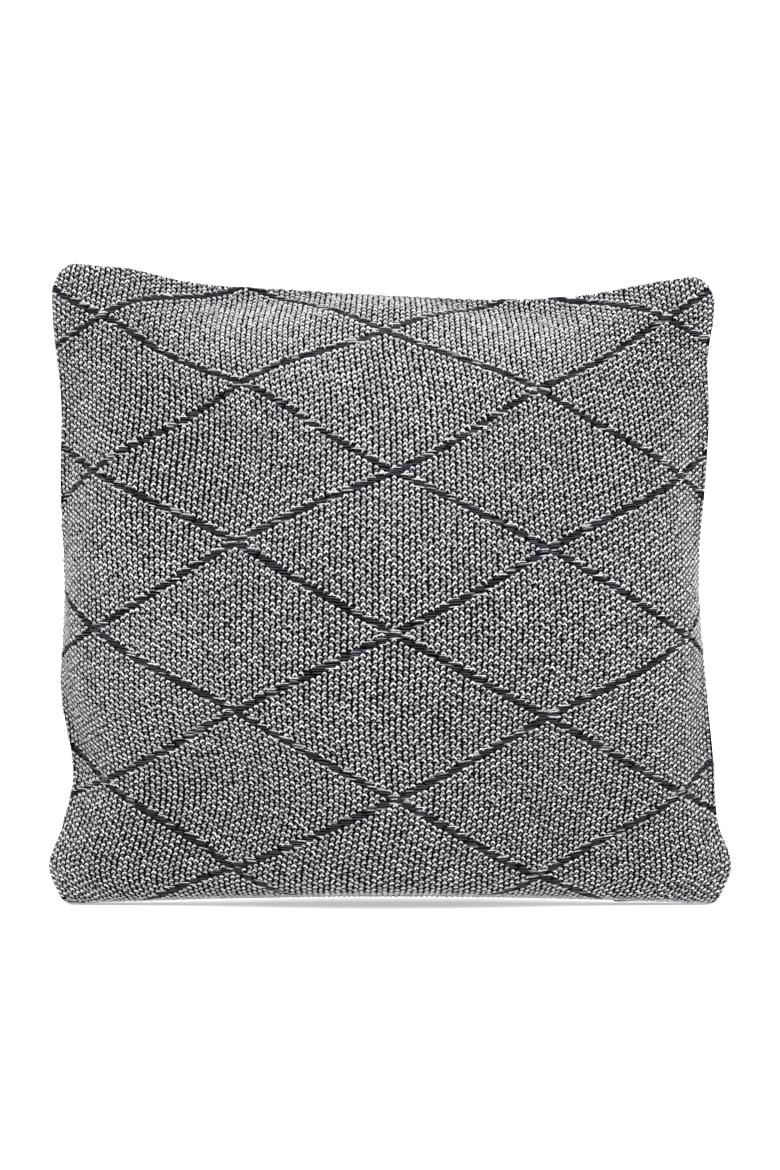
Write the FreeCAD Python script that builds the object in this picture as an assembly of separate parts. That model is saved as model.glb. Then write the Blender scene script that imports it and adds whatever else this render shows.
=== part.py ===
"""Square knitted throw pillow that stands on its bottom edge: cover, hidden zip and insert.

Frame: millimetres, +Z up, the front panel faces -Y, the width lies along X. The origin is on
the surface that the pillow stands on, under the middle of the pillow.
"""
import FreeCAD, Part

import math
import os

from FreeCAD import Vector

# Cover, at its outside
HALF_WIDTH = 225.0  # middle to the tip of a bottom corner
SEAM_BOTTOM = -17.0  # where the bottom seam would be if the floor hadn't pushed it flat
CORNER_TOP_LEFT = 422.0
CORNER_TOP_RIGHT = 414.0
TOP_DIP = 20.0  # how far the top seam hangs between its corners
SIDE_DIP_LEFT = 14.0  # how far each side seam is drawn in between its corners
SIDE_DIP_RIGHT = 16.0
TOP_LEAN_LEFT = 1.0  # how much nearer the middle a top corner is than a bottom one
TOP_LEAN_RIGHT = 9.0
FRONT_DEPTH = 70.5
BACK_DEPTH = 70.5
BELLY = 0.16  # how far the filling has settled below the middle, as a share of the half height

# Layers, from the outside in
KNIT = 2.5
SEAM_START = 3.2  # perimeter inset of the seam allowances' outer edge
SEAM_END = 8.7
SEAM_HALF = 1.2  # half the thickness of an overlocked seam allowance
CASING_INSET = 9.5  # perimeter inset of the insert's casing
CASING_GAP = 0.6  # depth left between the cover's inside and the casing
CASING = 0.8
FILL_GAP = 0.3
INSERT_FLOOR = 12.0

# Zip, along the bottom between the two panels
LIP_HALF = 4.6  # half the gap between the panels' turned edges
OPENING_HALF = 180.0
HEM_DEPTH = 13.5
TAPE_FLOOR = 8.0
TAPE = 0.5
TAPE_INNER = 1.3
TAPE_OUTER = 12.4
TAPE_HALF_LENGTH = 194.0
COIL_OUTER = 2.4
COIL_FLOOR = 6.3
COIL_GAP = 0.03  # half the gap between the two coils in mesh
CHAIN_START = -159.0
CHAIN_END = 168.0
STITCH_Y = 8.5
STITCH_PITCH = 3.4
STITCH_LENGTH = 2.6
STITCH_RADIUS = 0.25

# Slider and pull, at the closed end of the chain
SLIDER_X = 166.5
SLIDER_LENGTH = 9.6
SLIDER_HALF = 3.9
PLATE = 0.9
RUNNING_GAP = 0.4
PIN_RADIUS = 0.6
PIN_FLOOR = 3.0  # height of the middle of the bridge that the pull hangs on
PULL_LENGTH = 19.0
PULL_HALF = 3.2
PULL_THICK = 1.2
PULL_EYE = 1.05  # half the height of the eye round the bridge

GRID = 21  # points each way on a panel


def outline(across, up, inset=0.0):
    """The place in the seam plane of a point of the flat panel, both shares from -1 to 1."""
    right = across > 0
    dip = SIDE_DIP_RIGHT if right else SIDE_DIP_LEFT
    lean = TOP_LEAN_RIGHT if right else TOP_LEAN_LEFT
    half = HALF_WIDTH - dip * (1 - up * up) - lean * (up + 1) / 2 - inset
    corner = (CORNER_TOP_LEFT + CORNER_TOP_RIGHT + across * (CORNER_TOP_RIGHT - CORNER_TOP_LEFT)) / 2
    top = corner - TOP_DIP * (1 - across * across) - inset
    low = SEAM_BOTTOM + inset
    return across * half, low + (top - low) * (up + 1) / 2


def bulge(across, up):
    """Depth of the pillow as a share of its greatest, fullest a little below the middle."""
    settled = 1 - BELLY * up - BELLY * BELLY / 4
    return math.sqrt(1 - across * across) * math.sqrt(1 - up * up) * settled


def pillow_faces(side, inset, less_depth, floor):
    """The panel, floor and seam-plane faces of half a pillow. side is -1 for front, +1 for back.

    Rows of points run across the panel, from the floor up to the top seam. They crowd together
    towards the seams, where the panel curves most.
    """
    depth = (FRONT_DEPTH if side < 0 else BACK_DEPTH) - less_depth
    columns = []
    for i in range(GRID):
        across = math.sin(math.pi / 2 * (2 * i / (GRID - 1) - 1))
        low, high = outline(across, -1, inset)[1], outline(across, 1, inset)[1]
        first = math.asin(2 * (floor - low) / (high - low) - 1)
        column = []
        for k in range(GRID):
            up = math.sin(first + (math.pi / 2 - first) * k / (GRID - 1))
            x, z = outline(across, up, inset)
            column.append(Vector(x, side * depth * bulge(across, up), z))
        columns.append(column)
    surface = Part.BSplineSurface()
    surface.interpolate(columns)
    panel = surface.toShape()
    floor_line = Part.makeLine(columns[0][0], columns[-1][0])
    bottom = [e for e in panel.Edges if abs(e.BoundBox.ZMax - floor) < 1e-6]
    seams = [e for e in panel.Edges if abs(e.BoundBox.ZMax - floor) >= 1e-6]
    floor_face = Part.Face(Part.Wire(Part.__sortEdges__(bottom + [floor_line])))
    seam_face = Part.Face(Part.Wire(Part.__sortEdges__(seams + [floor_line])))
    return panel, floor_face, seam_face


def closed_body(faces):
    """One solid from the faces that close it."""
    shell = Part.makeShell(faces)
    shell.sewShape()
    body = Part.makeSolid(shell)
    if body.Volume < 0:
        body.reverse()
    return body


def half_body(side, inset, less_depth, floor):
    """Half a pillow, from the seam plane out to a panel."""
    return closed_body(pillow_faces(side, inset, less_depth, floor))


def box(x0, x1, y0, y1, z0, z1):
    """A block between two corners, given in either order along Y."""
    y0, y1 = min(y0, y1), max(y0, y1)
    return Part.makeBox(x1 - x0, y1 - y0, z1 - z0, Vector(x0, y0, z0))


def rounded(block, radius, along):
    """A block with the edges that run along one axis rounded."""
    edges = [e for e in block.Edges if abs(abs(e.tangentAt(0).dot(along)) - 1) < 1e-6]
    return block.makeFillet(radius, edges)


def cover_panel(side):
    """A knit panel: its shell, the slot for the zip, and the hem turned in beside the slot."""
    inside = half_body(side, KNIT, KNIT, KNIT)
    shell = half_body(side, 0, 0, 0).cut(inside)
    slot = box(-OPENING_HALF, OPENING_HALF, 0, side * LIP_HALF, -1, KNIT + 1)
    hem = box(-OPENING_HALF, OPENING_HALF, side * LIP_HALF, side * HEM_DEPTH, KNIT - 0.5, TAPE_FLOOR)
    return shell.cut(slot).fuse(hem).removeSplitter()


def seam_band(points_out, points_in):
    """A flat band of overlocked seam allowance between two curves in the seam plane."""

    def curve(points):
        spline = Part.BSplineCurve()
        spline.interpolate([Vector(x, -SEAM_HALF, z) for x, z in points])
        return spline.toShape()

    def across(a, b):
        return Part.makeLine(Vector(a[0], -SEAM_HALF, a[1]), Vector(b[0], -SEAM_HALF, b[1]))

    edges = [
        curve(points_out),
        across(points_out[-1], points_in[-1]),
        curve(points_in),
        across(points_in[0], points_out[0]),
    ]
    face = Part.Face(Part.Wire(Part.__sortEdges__(edges)))
    return face.extrude(Vector(0, 2 * SEAM_HALF, 0))


def cover_seams():
    """The seam allowances inside the cover at the top and both sides."""
    steps = [-0.82 + 1.64 * i / 12 for i in range(13)]
    bands = {}
    for name, place in (
        ("top", lambda s, inset: outline(s, 1, inset)),
        ("left", lambda s, inset: outline(-1, s, inset)),
        ("right", lambda s, inset: outline(1, s, inset)),
    ):
        bands[f"cover_seam_{name}"] = seam_band(
            [place(s, SEAM_START) for s in steps], [place(s, SEAM_END) for s in steps]
        )
    return bands


def zip_tape(side):
    """A woven tape that lies on the hem, with its coil along the inner edge."""
    inner, outer = side * TAPE_INNER, side * TAPE_OUTER
    return box(-TAPE_HALF_LENGTH, TAPE_HALF_LENGTH, inner, outer, TAPE_FLOOR, TAPE_FLOOR + TAPE)


def zip_coil(side):
    """One side's coil as the outside of its turns: a bar with rounded outer edges."""
    bar = box(CHAIN_START, CHAIN_END, side * COIL_GAP, side * COIL_OUTER, COIL_FLOOR, TAPE_FLOOR)
    outer = [
        e for e in bar.Edges
        if abs(e.CenterOfMass.y - side * COIL_OUTER) < 1e-6 and abs(e.tangentAt(0).x) > 0.9
    ]
    return bar.makeFillet(0.7, outer)


def zip_stitching(side):
    """A row of lockstitches through the tape and the hem: the thread that shows on the tape."""
    count = int(2 * (OPENING_HALF - 4) / STITCH_PITCH)
    first = -STITCH_PITCH * (count - 1) / 2
    floor = TAPE_FLOOR + TAPE
    stitches = []
    for i in range(count):
        x = first + STITCH_PITCH * i
        y = side * STITCH_Y
        stitches.append(
            box(x - STITCH_LENGTH / 2, x + STITCH_LENGTH / 2, y - STITCH_RADIUS, y + STITCH_RADIUS,
                floor, floor + STITCH_RADIUS)
        )
    return Part.makeCompound(stitches)


def zip_top_stops():
    """Two crimped stops on the inner edges of the tapes, past the closed slider."""
    stops = []
    for side in (-1, 1):
        stop = box(172.4, 176.0, side * 1.3, side * 3.4, TAPE_FLOOR - 1.5, TAPE_FLOOR)
        stops.append(rounded(stop, 0.5, Vector(0, 0, 1)))
    return Part.makeCompound(stops)


def zip_bottom_stop():
    """One wide crimped stop across both tapes at the open end."""
    stop = box(CHAIN_START - 3.6, CHAIN_START - 0.2, -3.2, 3.2, TAPE_FLOOR - 1.9, TAPE_FLOOR)
    return rounded(stop, 0.8, Vector(0, 0, 1))


def zip_bar_tacks():
    """Dense thread bars on the hem that close both ends of the zip opening."""
    tacks = []
    for end in (-1, 1):
        x = end * (OPENING_HALF - 1.6)
        tack = box(x - 1.2, x + 1.2, -LIP_HALF, LIP_HALF, 1.0, 2.4)
        tacks.append(rounded(tack, 0.4, Vector(0, 1, 0)))
    return Part.makeCompound(tacks)


def slider():
    """The slider: two wings round the chain, the post that parts it, and the pull's bridge."""
    x0, x1 = SLIDER_X - SLIDER_LENGTH / 2, SLIDER_X + SLIDER_LENGTH / 2
    wing_floor = COIL_FLOOR - RUNNING_GAP - PLATE
    wing_top = COIL_FLOOR - RUNNING_GAP
    lid_floor = TAPE_FLOOR + TAPE + RUNNING_GAP
    outer_wing = rounded(box(x0, x1, -SLIDER_HALF, SLIDER_HALF, wing_floor, wing_top), 1.6, Vector(0, 0, 1))
    inner_wing = rounded(
        box(x0, x1, -SLIDER_HALF + 0.3, SLIDER_HALF - 0.3, lid_floor, lid_floor + PLATE), 1.6, Vector(0, 0, 1)
    )
    post = box(x1 - 2.1, x1 - 0.5, -0.8, 0.8, wing_top - 0.1, lid_floor + 0.1)
    body = outer_wing.fuse(inner_wing).fuse(rounded(post, 0.35, Vector(0, 0, 1)))
    for side in (-1, 1):
        wall = box(
            x0 + 1.5, x1 - 1.5, side * (COIL_OUTER + RUNNING_GAP), side * SLIDER_HALF,
            wing_top - 0.1, TAPE_FLOOR - RUNNING_GAP
        )
        body = body.fuse(wall)
    bridge_pin = Part.makeCylinder(
        PIN_RADIUS, 2 * 1.3, Vector(SLIDER_X, -1.3, PIN_FLOOR), Vector(0, 1, 0)
    )
    body = body.fuse(bridge_pin)
    for side in (-1, 1):
        cheek = box(
            SLIDER_X - 1.1, SLIDER_X + 1.1, side * 1.2, side * 1.9, PIN_FLOOR - 0.9, wing_floor + 0.1
        )
        body = body.fuse(cheek)
    return body.removeSplitter()


def pull():
    """The pull: an eye round the bridge pin, and a tongue that tapers out to a rounded end."""
    eye_radius = PULL_EYE
    eye = Part.makeCylinder(eye_radius, 2.0, Vector(SLIDER_X, -1.0, PIN_FLOOR), Vector(0, 1, 0))
    floor = PIN_FLOOR - eye_radius
    neck = box(SLIDER_X - 5.5, SLIDER_X, -1.0, 1.0, floor, floor + PULL_THICK)
    tip = SLIDER_X - PULL_LENGTH
    outline_points = [
        Vector(SLIDER_X - 4.0, -1.0, floor),
        Vector(SLIDER_X - 4.0, 1.0, floor),
        Vector(tip + PULL_HALF, PULL_HALF, floor),
    ]
    round_end = Part.Arc(
        Vector(tip + PULL_HALF, PULL_HALF, floor),
        Vector(tip, 0, floor),
        Vector(tip + PULL_HALF, -PULL_HALF, floor),
    ).toShape()
    sides = Part.makePolygon(outline_points)
    closing = Part.makeLine(Vector(tip + PULL_HALF, -PULL_HALF, floor), outline_points[0])
    wire = Part.Wire(Part.__sortEdges__(sides.Edges + [round_end, closing]))
    tongue = Part.Face(wire).extrude(Vector(0, 0, PULL_THICK))
    hole = Part.makeCylinder(PIN_RADIUS + 0.1, 4.0, Vector(SLIDER_X, -2.0, PIN_FLOOR), Vector(0, 1, 0))
    window = Part.makeCylinder(1.5, 6.0, Vector(tip + PULL_HALF + 0.3, 0, floor - 1), Vector(0, 0, 1))
    return eye.fuse(neck).fuse(tongue).cut(hole).cut(window).removeSplitter()


def casing_panel(side):
    """Half of the insert's woven casing."""
    outer = half_body(side, CASING_INSET, KNIT + CASING_GAP, INSERT_FLOOR)
    inner = half_body(side, CASING_INSET + CASING, KNIT + CASING_GAP + CASING, INSERT_FLOOR + CASING)
    return outer.cut(inner)


def fibre_fill():
    """The filling that the casing wraps, as two halves that meet in the seam plane."""
    inset = CASING_INSET + CASING + FILL_GAP
    less_depth = KNIT + CASING_GAP + CASING + FILL_GAP
    floor = INSERT_FLOOR + CASING + FILL_GAP
    return Part.makeCompound([half_body(side, inset, less_depth, floor) for side in (-1, 1)])


def insert_seams():
    """Thread bands on the casing's floor: its edge seam, and the longer stitches that closed it."""
    top = INSERT_FLOOR
    edge = [box(start, start + 126, -0.6, 0.6, top - 0.5, top) for start in (-190, 64)]
    closing = []
    for i in range(20):
        start = -58 + 6 * i
        closing.append(box(start, start + 4.4, -0.8, 0.8, top - 0.6, top))
    return {
        "insert_edge_seam": Part.makeCompound(edge),
        "insert_closing_seam": Part.makeCompound(closing),
    }


def labels():
    """Two blank folded woven tabs: one inside the cover by the zip, one on the insert."""
    return {
        "care_label": box(-170, -145, 15.0, 15.4, KNIT, 11.4),
        "insert_label": box(90, 120, -1.9, -1.5, 10.6, INSERT_FLOOR),
    }


def main():
    nodes = {}
    for name, side in (("front", -1), ("back", 1)):
        nodes[f"cover_{name}"] = cover_panel(side)
        nodes[f"insert_casing_{name}"] = casing_panel(side)
        nodes[f"zipper_tape_{name}"] = zip_tape(side)
        nodes[f"zipper_coil_{name}"] = zip_coil(side)
        nodes[f"zipper_stitching_{name}"] = zip_stitching(side)
    nodes.update(cover_seams())
    nodes["zipper_top_stops"] = zip_top_stops()
    nodes["zipper_bottom_stop"] = zip_bottom_stop()
    nodes["zipper_bar_tacks"] = zip_bar_tacks()
    nodes["zipper_slider"] = slider()
    nodes["zipper_pull"] = pull()
    nodes["fibre_fill"] = fibre_fill()
    nodes.update(insert_seams())
    nodes.update(labels())
    os.makedirs("parts", exist_ok=True)
    for name, shape in sorted(nodes.items()):
        shape.exportStep(f"parts/{name}.step")
        bounds = shape.BoundBox
        print(
            f"{name:24s} solids {len(shape.Solids):3d} valid {shape.isValid()} "
            f"volume {shape.Volume / 1000:9.3f} cm3 "
            f"x {bounds.XMin:7.1f} {bounds.XMax:7.1f} y {bounds.YMin:6.1f} {bounds.YMax:6.1f} "
            f"z {bounds.ZMin:6.1f} {bounds.ZMax:6.1f}"
        )


main()
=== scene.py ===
"""Knitted throw pillow: a two-yarn cover with a diamond lattice, its hidden zip and its stuffed insert.

The cover is a pillowcase of two flat panels, sewn round their edges and blown up as cloth. The
blown-up panels are then drawn to the outline of the standing pillow. Every stitch has a place on
the flat panel, so the knit, the seams and the zip's lips all follow the cloth.

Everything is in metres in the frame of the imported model: +Z up, the front panel faces -Y.
"""

import logging
import math
from dataclasses import dataclass, field
from enum import Enum

import bmesh
import bpy
import numpy as np
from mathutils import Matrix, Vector


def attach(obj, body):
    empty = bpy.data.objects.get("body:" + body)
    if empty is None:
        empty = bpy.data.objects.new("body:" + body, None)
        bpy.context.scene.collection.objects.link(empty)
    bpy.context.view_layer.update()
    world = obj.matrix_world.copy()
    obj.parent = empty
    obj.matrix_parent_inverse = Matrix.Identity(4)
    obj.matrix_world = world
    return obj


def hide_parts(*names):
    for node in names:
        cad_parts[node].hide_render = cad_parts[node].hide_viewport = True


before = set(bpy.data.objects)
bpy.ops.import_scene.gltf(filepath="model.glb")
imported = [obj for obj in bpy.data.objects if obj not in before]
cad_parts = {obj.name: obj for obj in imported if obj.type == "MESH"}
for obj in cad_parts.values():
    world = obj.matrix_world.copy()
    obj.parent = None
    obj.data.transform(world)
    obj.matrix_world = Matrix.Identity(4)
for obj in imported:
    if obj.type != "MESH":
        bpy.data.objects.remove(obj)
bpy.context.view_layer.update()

logging.basicConfig(level=logging.INFO, format="%(name)s: %(message)s")
log = logging.getLogger("pillow")

MM = 0.001
TURN = 2 * math.pi
WORLD_UP = np.array([0, 0, 1.0])
PILLOW_MIDDLE = 0.21

Mesh = tuple[np.ndarray, list[np.ndarray]]
Keys = tuple[tuple[float, float], ...]
Colour = tuple[float, float, float]


class Side(Enum):
    """Which panel of the pillow; the value is the sign of the panel's place along Y."""

    FRONT = -1
    BACK = 1

    @property
    def word(self) -> str:
        """The side's name in piece names."""
        return self.name.lower()


class Body(Enum):
    """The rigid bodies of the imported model."""

    PILLOW = "pillow"
    SLIDER = "slider"
    PULL = "pull"


# ---------------------------------------------------------------------------------------------
# Mesh tools


def add_mesh(
    name: str, points: np.ndarray, faces: list[np.ndarray], closed: bool = False
) -> bpy.types.Object:
    """Makes a mesh object at the origin from whole arrays.

    Args:
        name: The piece's name.
        points: Vertices, shape (n, 3), in metres.
        faces: Arrays of vertex numbers, each of shape (faces, corners).
        closed: Whether the shells are closed, so that their faces are turned outwards.

    Returns:
        The new object, linked to the scene.
    """
    mesh = bpy.data.meshes.new(name)
    mesh.vertices.add(len(points))
    mesh.vertices.foreach_set("co", np.ascontiguousarray(points, np.float32).ravel())
    corners = np.concatenate([f.ravel() for f in faces]).astype(np.int32)
    counts = np.concatenate([np.full(len(f), f.shape[1]) for f in faces])
    mesh.loops.add(len(corners))
    mesh.loops.foreach_set("vertex_index", corners)
    mesh.polygons.add(len(counts))
    starts = np.concatenate([[0], np.cumsum(counts)[:-1]])
    mesh.polygons.foreach_set("loop_start", starts.astype(np.int32))
    mesh.update(calc_edges=True)
    mesh.validate()
    if closed:
        shells = bmesh.new()
        shells.from_mesh(mesh)
        bmesh.ops.recalc_face_normals(shells, faces=shells.faces)
        shells.to_mesh(mesh)
        shells.free()
    mesh.polygons.foreach_set("use_smooth", np.ones(len(mesh.polygons), bool))
    piece = bpy.data.objects.new(name, mesh)
    bpy.context.scene.collection.objects.link(piece)
    return piece


def add_uv(piece: bpy.types.Object, name: str, values: np.ndarray) -> None:
    """Gives a mesh a UV map from one pair of values per vertex.

    Args:
        piece: The mesh object.
        name: The UV map's name.
        values: Pairs, shape (vertices, 2).
    """
    mesh = piece.data
    corners = np.empty(len(mesh.loops), np.int32)
    mesh.loops.foreach_get("vertex_index", corners)
    layer = mesh.uv_layers.new(name=name)
    layer.data.foreach_set("uv", np.ascontiguousarray(values[corners], np.float32).ravel())


def add_tone(piece: bpy.types.Object, values: np.ndarray) -> None:
    """Gives a mesh the point attribute "tone", from 0 to 1, that the yarn materials read."""
    layer = piece.data.attributes.new("tone", "FLOAT", "POINT")
    layer.data.foreach_set("value", np.ascontiguousarray(values, np.float32))


def grid_faces(rows: int, columns: int, wrap: bool = False, flip: bool = False) -> np.ndarray:
    """Quads of a grid of rows x columns vertices, joined round its columns if wrap is set."""
    numbers = np.arange(rows * columns).reshape(rows, columns)
    if wrap:
        numbers = np.concatenate([numbers, numbers[:, :1]], axis=1)
    quads = np.stack([numbers[:-1, :-1], numbers[:-1, 1:], numbers[1:, 1:], numbers[1:, :-1]], -1)
    quads = quads.reshape(-1, 4)
    return quads[:, ::-1] if flip else quads


def unit(vectors: np.ndarray) -> np.ndarray:
    """The vectors scaled to length one."""
    return vectors / np.maximum(np.linalg.norm(vectors, axis=-1, keepdims=True), 1e-12)


def tube(path: np.ndarray, radii: tuple[float, float], sides: int, up: np.ndarray) -> Mesh:
    """A closed tube of elliptical section carried along a path.

    A ring point is the path's point plus across * cos(angle) * radii[0] plus normal *
    sin(angle) * radii[1], where across is square to the path and to up.

    Args:
        path: Points of the centre line, shape (n, 3).
        radii: Half the section's width and half its height.
        sides: Corners of a ring.
        up: The direction that the section's height follows.

    Returns:
        The vertices and the faces, with a flat cap at each end.
    """
    along = unit(np.gradient(path, axis=0))
    across = unit(np.cross(along, np.broadcast_to(up, path.shape)))
    normal = np.cross(across, along)
    angle = np.linspace(0, TURN, sides, endpoint=False)[None, :, None]
    rings = (
        path[:, None]
        + across[:, None] * np.cos(angle) * radii[0]
        + normal[:, None] * np.sin(angle) * radii[1]
    )
    count = len(path)
    caps = [np.arange(sides)[None], np.arange(sides)[None, ::-1] + (count - 1) * sides]
    return rings.reshape(-1, 3), [grid_faces(count, sides, wrap=True, flip=True), *caps]


def joined(parts: list[Mesh]) -> Mesh:
    """Several (vertices, faces) meshes as one."""
    points, faces, offset = [], [], 0
    for part_points, part_faces in parts:
        points.append(part_points)
        faces += [f + offset for f in part_faces]
        offset += len(part_points)
    return np.concatenate(points), faces


def repeated(part: Mesh, places: np.ndarray) -> Mesh:
    """One small (vertices, faces) mesh put at each of the places, shape (n, 3)."""
    points, faces = part
    count, size = len(places), len(points)
    offsets = (np.arange(count) * size)[:, None, None]
    all_points = (places[:, None] + points[None]).reshape(-1, 3)
    return all_points, [(f[None] + offsets).reshape(-1, f.shape[1]) for f in faces]


def signed_power(values: np.ndarray, power: float) -> np.ndarray:
    """The size of each value raised to the power, with the value's own sign."""
    return np.sign(values) * np.abs(values) ** power


def lozenge(
    centre: tuple[float, float, float], half: tuple[float, float, float],
    power: float = 4.0, rings: int = 9, sides: int = 20,
) -> Mesh:
    """A closed block with rounded edges: the sphere's points pushed out to a superellipsoid.

    Each point is centre + half * sign(d) * |d| ** (2 / power), where d is the sphere's direction.

    Args:
        centre: Middle of the block.
        half: Half sizes along X, Y and Z.
        power: 2 is an ellipsoid, and larger is squarer.
        rings: Rows of points between the poles.
        sides: Points round a row.

    Returns:
        The vertices and the faces.
    """
    polar = np.linspace(0, math.pi, rings + 2)[1:-1, None]
    turn = np.linspace(0, TURN, sides, endpoint=False)[None, :]
    level = np.sin(polar)
    d = np.stack([level * np.cos(turn), level * np.sin(turn), np.cos(polar) + 0 * turn], -1)
    d = np.concatenate([d.reshape(-1, 3), [[0, 0, 1.0], [0, 0, -1.0]]])
    points = np.array(centre) + np.array(half) * signed_power(d, 2 / power)
    ring = np.arange(sides)
    top, bottom = rings * sides, rings * sides + 1
    last = (rings - 1) * sides
    fans = [
        np.stack([np.full(sides, top), ring, (ring + 1) % sides], -1),
        np.stack([np.full(sides, bottom), last + (ring + 1) % sides, last + ring], -1),
    ]
    return points, [grid_faces(rings, sides, wrap=True, flip=True), *fans]


def smooth_curve(keys: Keys, x: np.ndarray) -> np.ndarray:
    """A smooth curve through a few (place, value) keys.

    It is the cubic Hermite spline whose slopes at the keys are the means of their neighbours',
    and it is level beyond the first and last keys.

    Args:
        keys: Pairs of place and value, in order of place.
        x: Where to read the curve.

    Returns:
        The curve's values, in the shape of x.
    """
    places, values = (np.array(k, float) for k in zip(*keys))
    slopes = np.gradient(values, places)
    x = np.clip(x, places[0], places[-1])
    i = np.clip(np.searchsorted(places, x) - 1, 0, len(places) - 2)
    step = places[i + 1] - places[i]
    q = (x - places[i]) / step
    return (
        values[i] * (1 + 2 * q) * (1 - q) ** 2
        + values[i + 1] * q * q * (3 - 2 * q)
        + slopes[i] * step * q * (1 - q) ** 2
        - slopes[i + 1] * step * q * q * (1 - q)
    )


def cubic_resample(values: np.ndarray, count: int) -> np.ndarray:
    """Resamples the first axis to count points with Catmull-Rom weights.

    Past an end, the missing point is twice the end point less the one before it, so that the
    line carries on.
    """
    old = len(values)
    place = np.linspace(0, old - 1, count)
    i = np.minimum(place.astype(int), old - 2)
    q = place - i
    weights = np.zeros((count, old))
    rows = np.arange(count)
    for shift, w in (
        (-1, -0.5 * q + q**2 - 0.5 * q**3),
        (0, 1 - 2.5 * q**2 + 1.5 * q**3),
        (1, 0.5 * q + 2 * q**2 - 1.5 * q**3),
        (2, -0.5 * q**2 + 0.5 * q**3),
    ):
        at = i + shift
        held = np.clip(at, 0, old - 1)
        np.add.at(weights, (rows, held), w)
        outside = at != held
        inner = np.clip(2 * held - at, 0, old - 1)
        np.add.at(weights, (rows[outside], held[outside]), w[outside])
        np.add.at(weights, (rows[outside], inner[outside]), -w[outside])
    return np.tensordot(weights, values, axes=(1, 0))


# ---------------------------------------------------------------------------------------------
# Finishes


class Nodes:
    """A short way to write a material's node tree."""

    def __init__(self, name: str) -> None:
        """Makes a material with a bare Principled shader."""
        self.material = bpy.data.materials.new(name)
        self.material.use_nodes = True
        self.tree = self.material.node_tree
        self.shader = self.tree.nodes["Principled BSDF"]

    def add(
        self, kind: str, inputs: dict[str | int, object] | None = None, **settings: object
    ) -> bpy.types.Node:
        """Adds a node.

        Args:
            kind: The node's type, such as ShaderNodeTexNoise.
            inputs: Values or output sockets for the inputs, by name or number.
            settings: Properties of the node.

        Returns:
            The node.
        """
        node = self.tree.nodes.new(kind)
        for key, value in settings.items():
            setattr(node, key, value)
        for key, value in (inputs or {}).items():
            self.feed(node.inputs[key], value)
        return node

    def feed(self, socket: bpy.types.NodeSocket, value: object) -> None:
        """Links an output socket to an input, or sets the input's value."""
        if isinstance(value, bpy.types.NodeSocket):
            self.tree.links.new(value, socket)
        else:
            socket.default_value = value

    def math(self, operation: str, *values: object) -> bpy.types.NodeSocket:
        """One step of arithmetic on one, two or three values."""
        return self.add("ShaderNodeMath", dict(enumerate(values)), operation=operation).outputs[0]

    def mixed_colour(self, share: object, a: Colour, b: Colour) -> None:
        """Drives the shader's colour with one between a and b."""
        node = self.add("ShaderNodeMix", data_type="RGBA")
        factor, colour_a, colour_b, colour_out = 0, 6, 7, 2
        for key, value in ((factor, share), (colour_a, (*a, 1.0)), (colour_b, (*b, 1.0))):
            self.feed(node.inputs[key], value)
        self.feed(self.shader.inputs["Base Color"], node.outputs[colour_out])

    def noise(self, scale: float, detail: float = 3.0) -> bpy.types.NodeSocket:
        """Smooth noise from 0 to 1 in the object's own place; scale is per metre."""
        where = self.place()
        node = self.add("ShaderNodeTexNoise", {"Vector": where, "Scale": scale, "Detail": detail})
        return node.outputs["Fac"]

    def place(self) -> bpy.types.NodeSocket:
        """Where a point lies on the object."""
        return self.add("ShaderNodeTexCoord").outputs["Object"]

    def tone(self) -> bpy.types.NodeSocket:
        """The point attribute that add_tone() gives."""
        return self.add("ShaderNodeAttribute", attribute_name="tone").outputs["Fac"]

    def parts_of(self, vector: bpy.types.NodeSocket) -> bpy.types.bpy_prop_collection:
        """The X, Y and Z of a vector."""
        return self.add("ShaderNodeSeparateXYZ", {0: vector}).outputs

    def bump(self, height: bpy.types.NodeSocket, strength: float, distance: float) -> None:
        """Drives the shader's normal from a height."""
        inputs = {"Height": height, "Strength": strength, "Distance": distance}
        self.feed(self.shader.inputs["Normal"], self.add("ShaderNodeBump", inputs).outputs[0])

    def set(self, **settings: float) -> bpy.types.Material:
        """Sets the shader's even values, named with _ for each space, and returns the material."""
        for name, value in settings.items():
            self.shader.inputs[name.replace("_", " ")].default_value = value
        return self.material


@dataclass(frozen=True)
class Yarn:
    """Spun cotton yarn of several plies, as a knitted stitch shows it.

    Attributes:
        name: The material's name.
        deep: Colour of the yarn's darkest tone, and the painted shade in the grooves between its plies.
        crest: Colour on the yarn's crest.
        plies: Turns of the plies along a stitch.
        roughness: Roughness of the spun fibre.
    """

    name: str
    deep: Colour
    crest: Colour
    plies: float = 3.0
    roughness: float = 0.85

    def make(self) -> bpy.types.Material:
        """The material: tone by stitch, twisted plies as bump and as painted shade in their grooves,
        fine fibre noise and a soft sheen.

        The "yarn" map runs along a stitch and round it; a ply's height is 0.5 + 0.5 * sin(4 * pi
        * (plies * along + round)).
        """
        n = Nodes(self.name)
        along, around, _ = n.parts_of(n.add("ShaderNodeUVMap", uv_map="yarn").outputs[0])
        lay = n.math("ADD", n.math("MULTIPLY", along, self.plies), around)
        twist = n.math("SINE", n.math("MULTIPLY", lay, 2 * TURN))
        twist = n.math("MULTIPLY_ADD", twist, 0.5, 0.5)
        fibre = n.noise(2600.0, 2.0)
        share = n.math("MULTIPLY", n.tone(), n.math("MULTIPLY_ADD", fibre, 0.5, 0.72))
        # Painted shade: the colour darkens in the grooves between the plies, with the twist's height.
        share = n.math("MULTIPLY", share, n.math("MULTIPLY_ADD", twist, 0.62, 0.38))
        n.mixed_colour(share, self.deep, self.crest)
        n.bump(n.math("MULTIPLY_ADD", fibre, 0.6, twist), 0.5, 0.00025)
        return n.set(
            Roughness=self.roughness, Sheen_Weight=0.25, Sheen_Roughness=0.5, Specular_IOR_Level=0.2
        )


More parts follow.
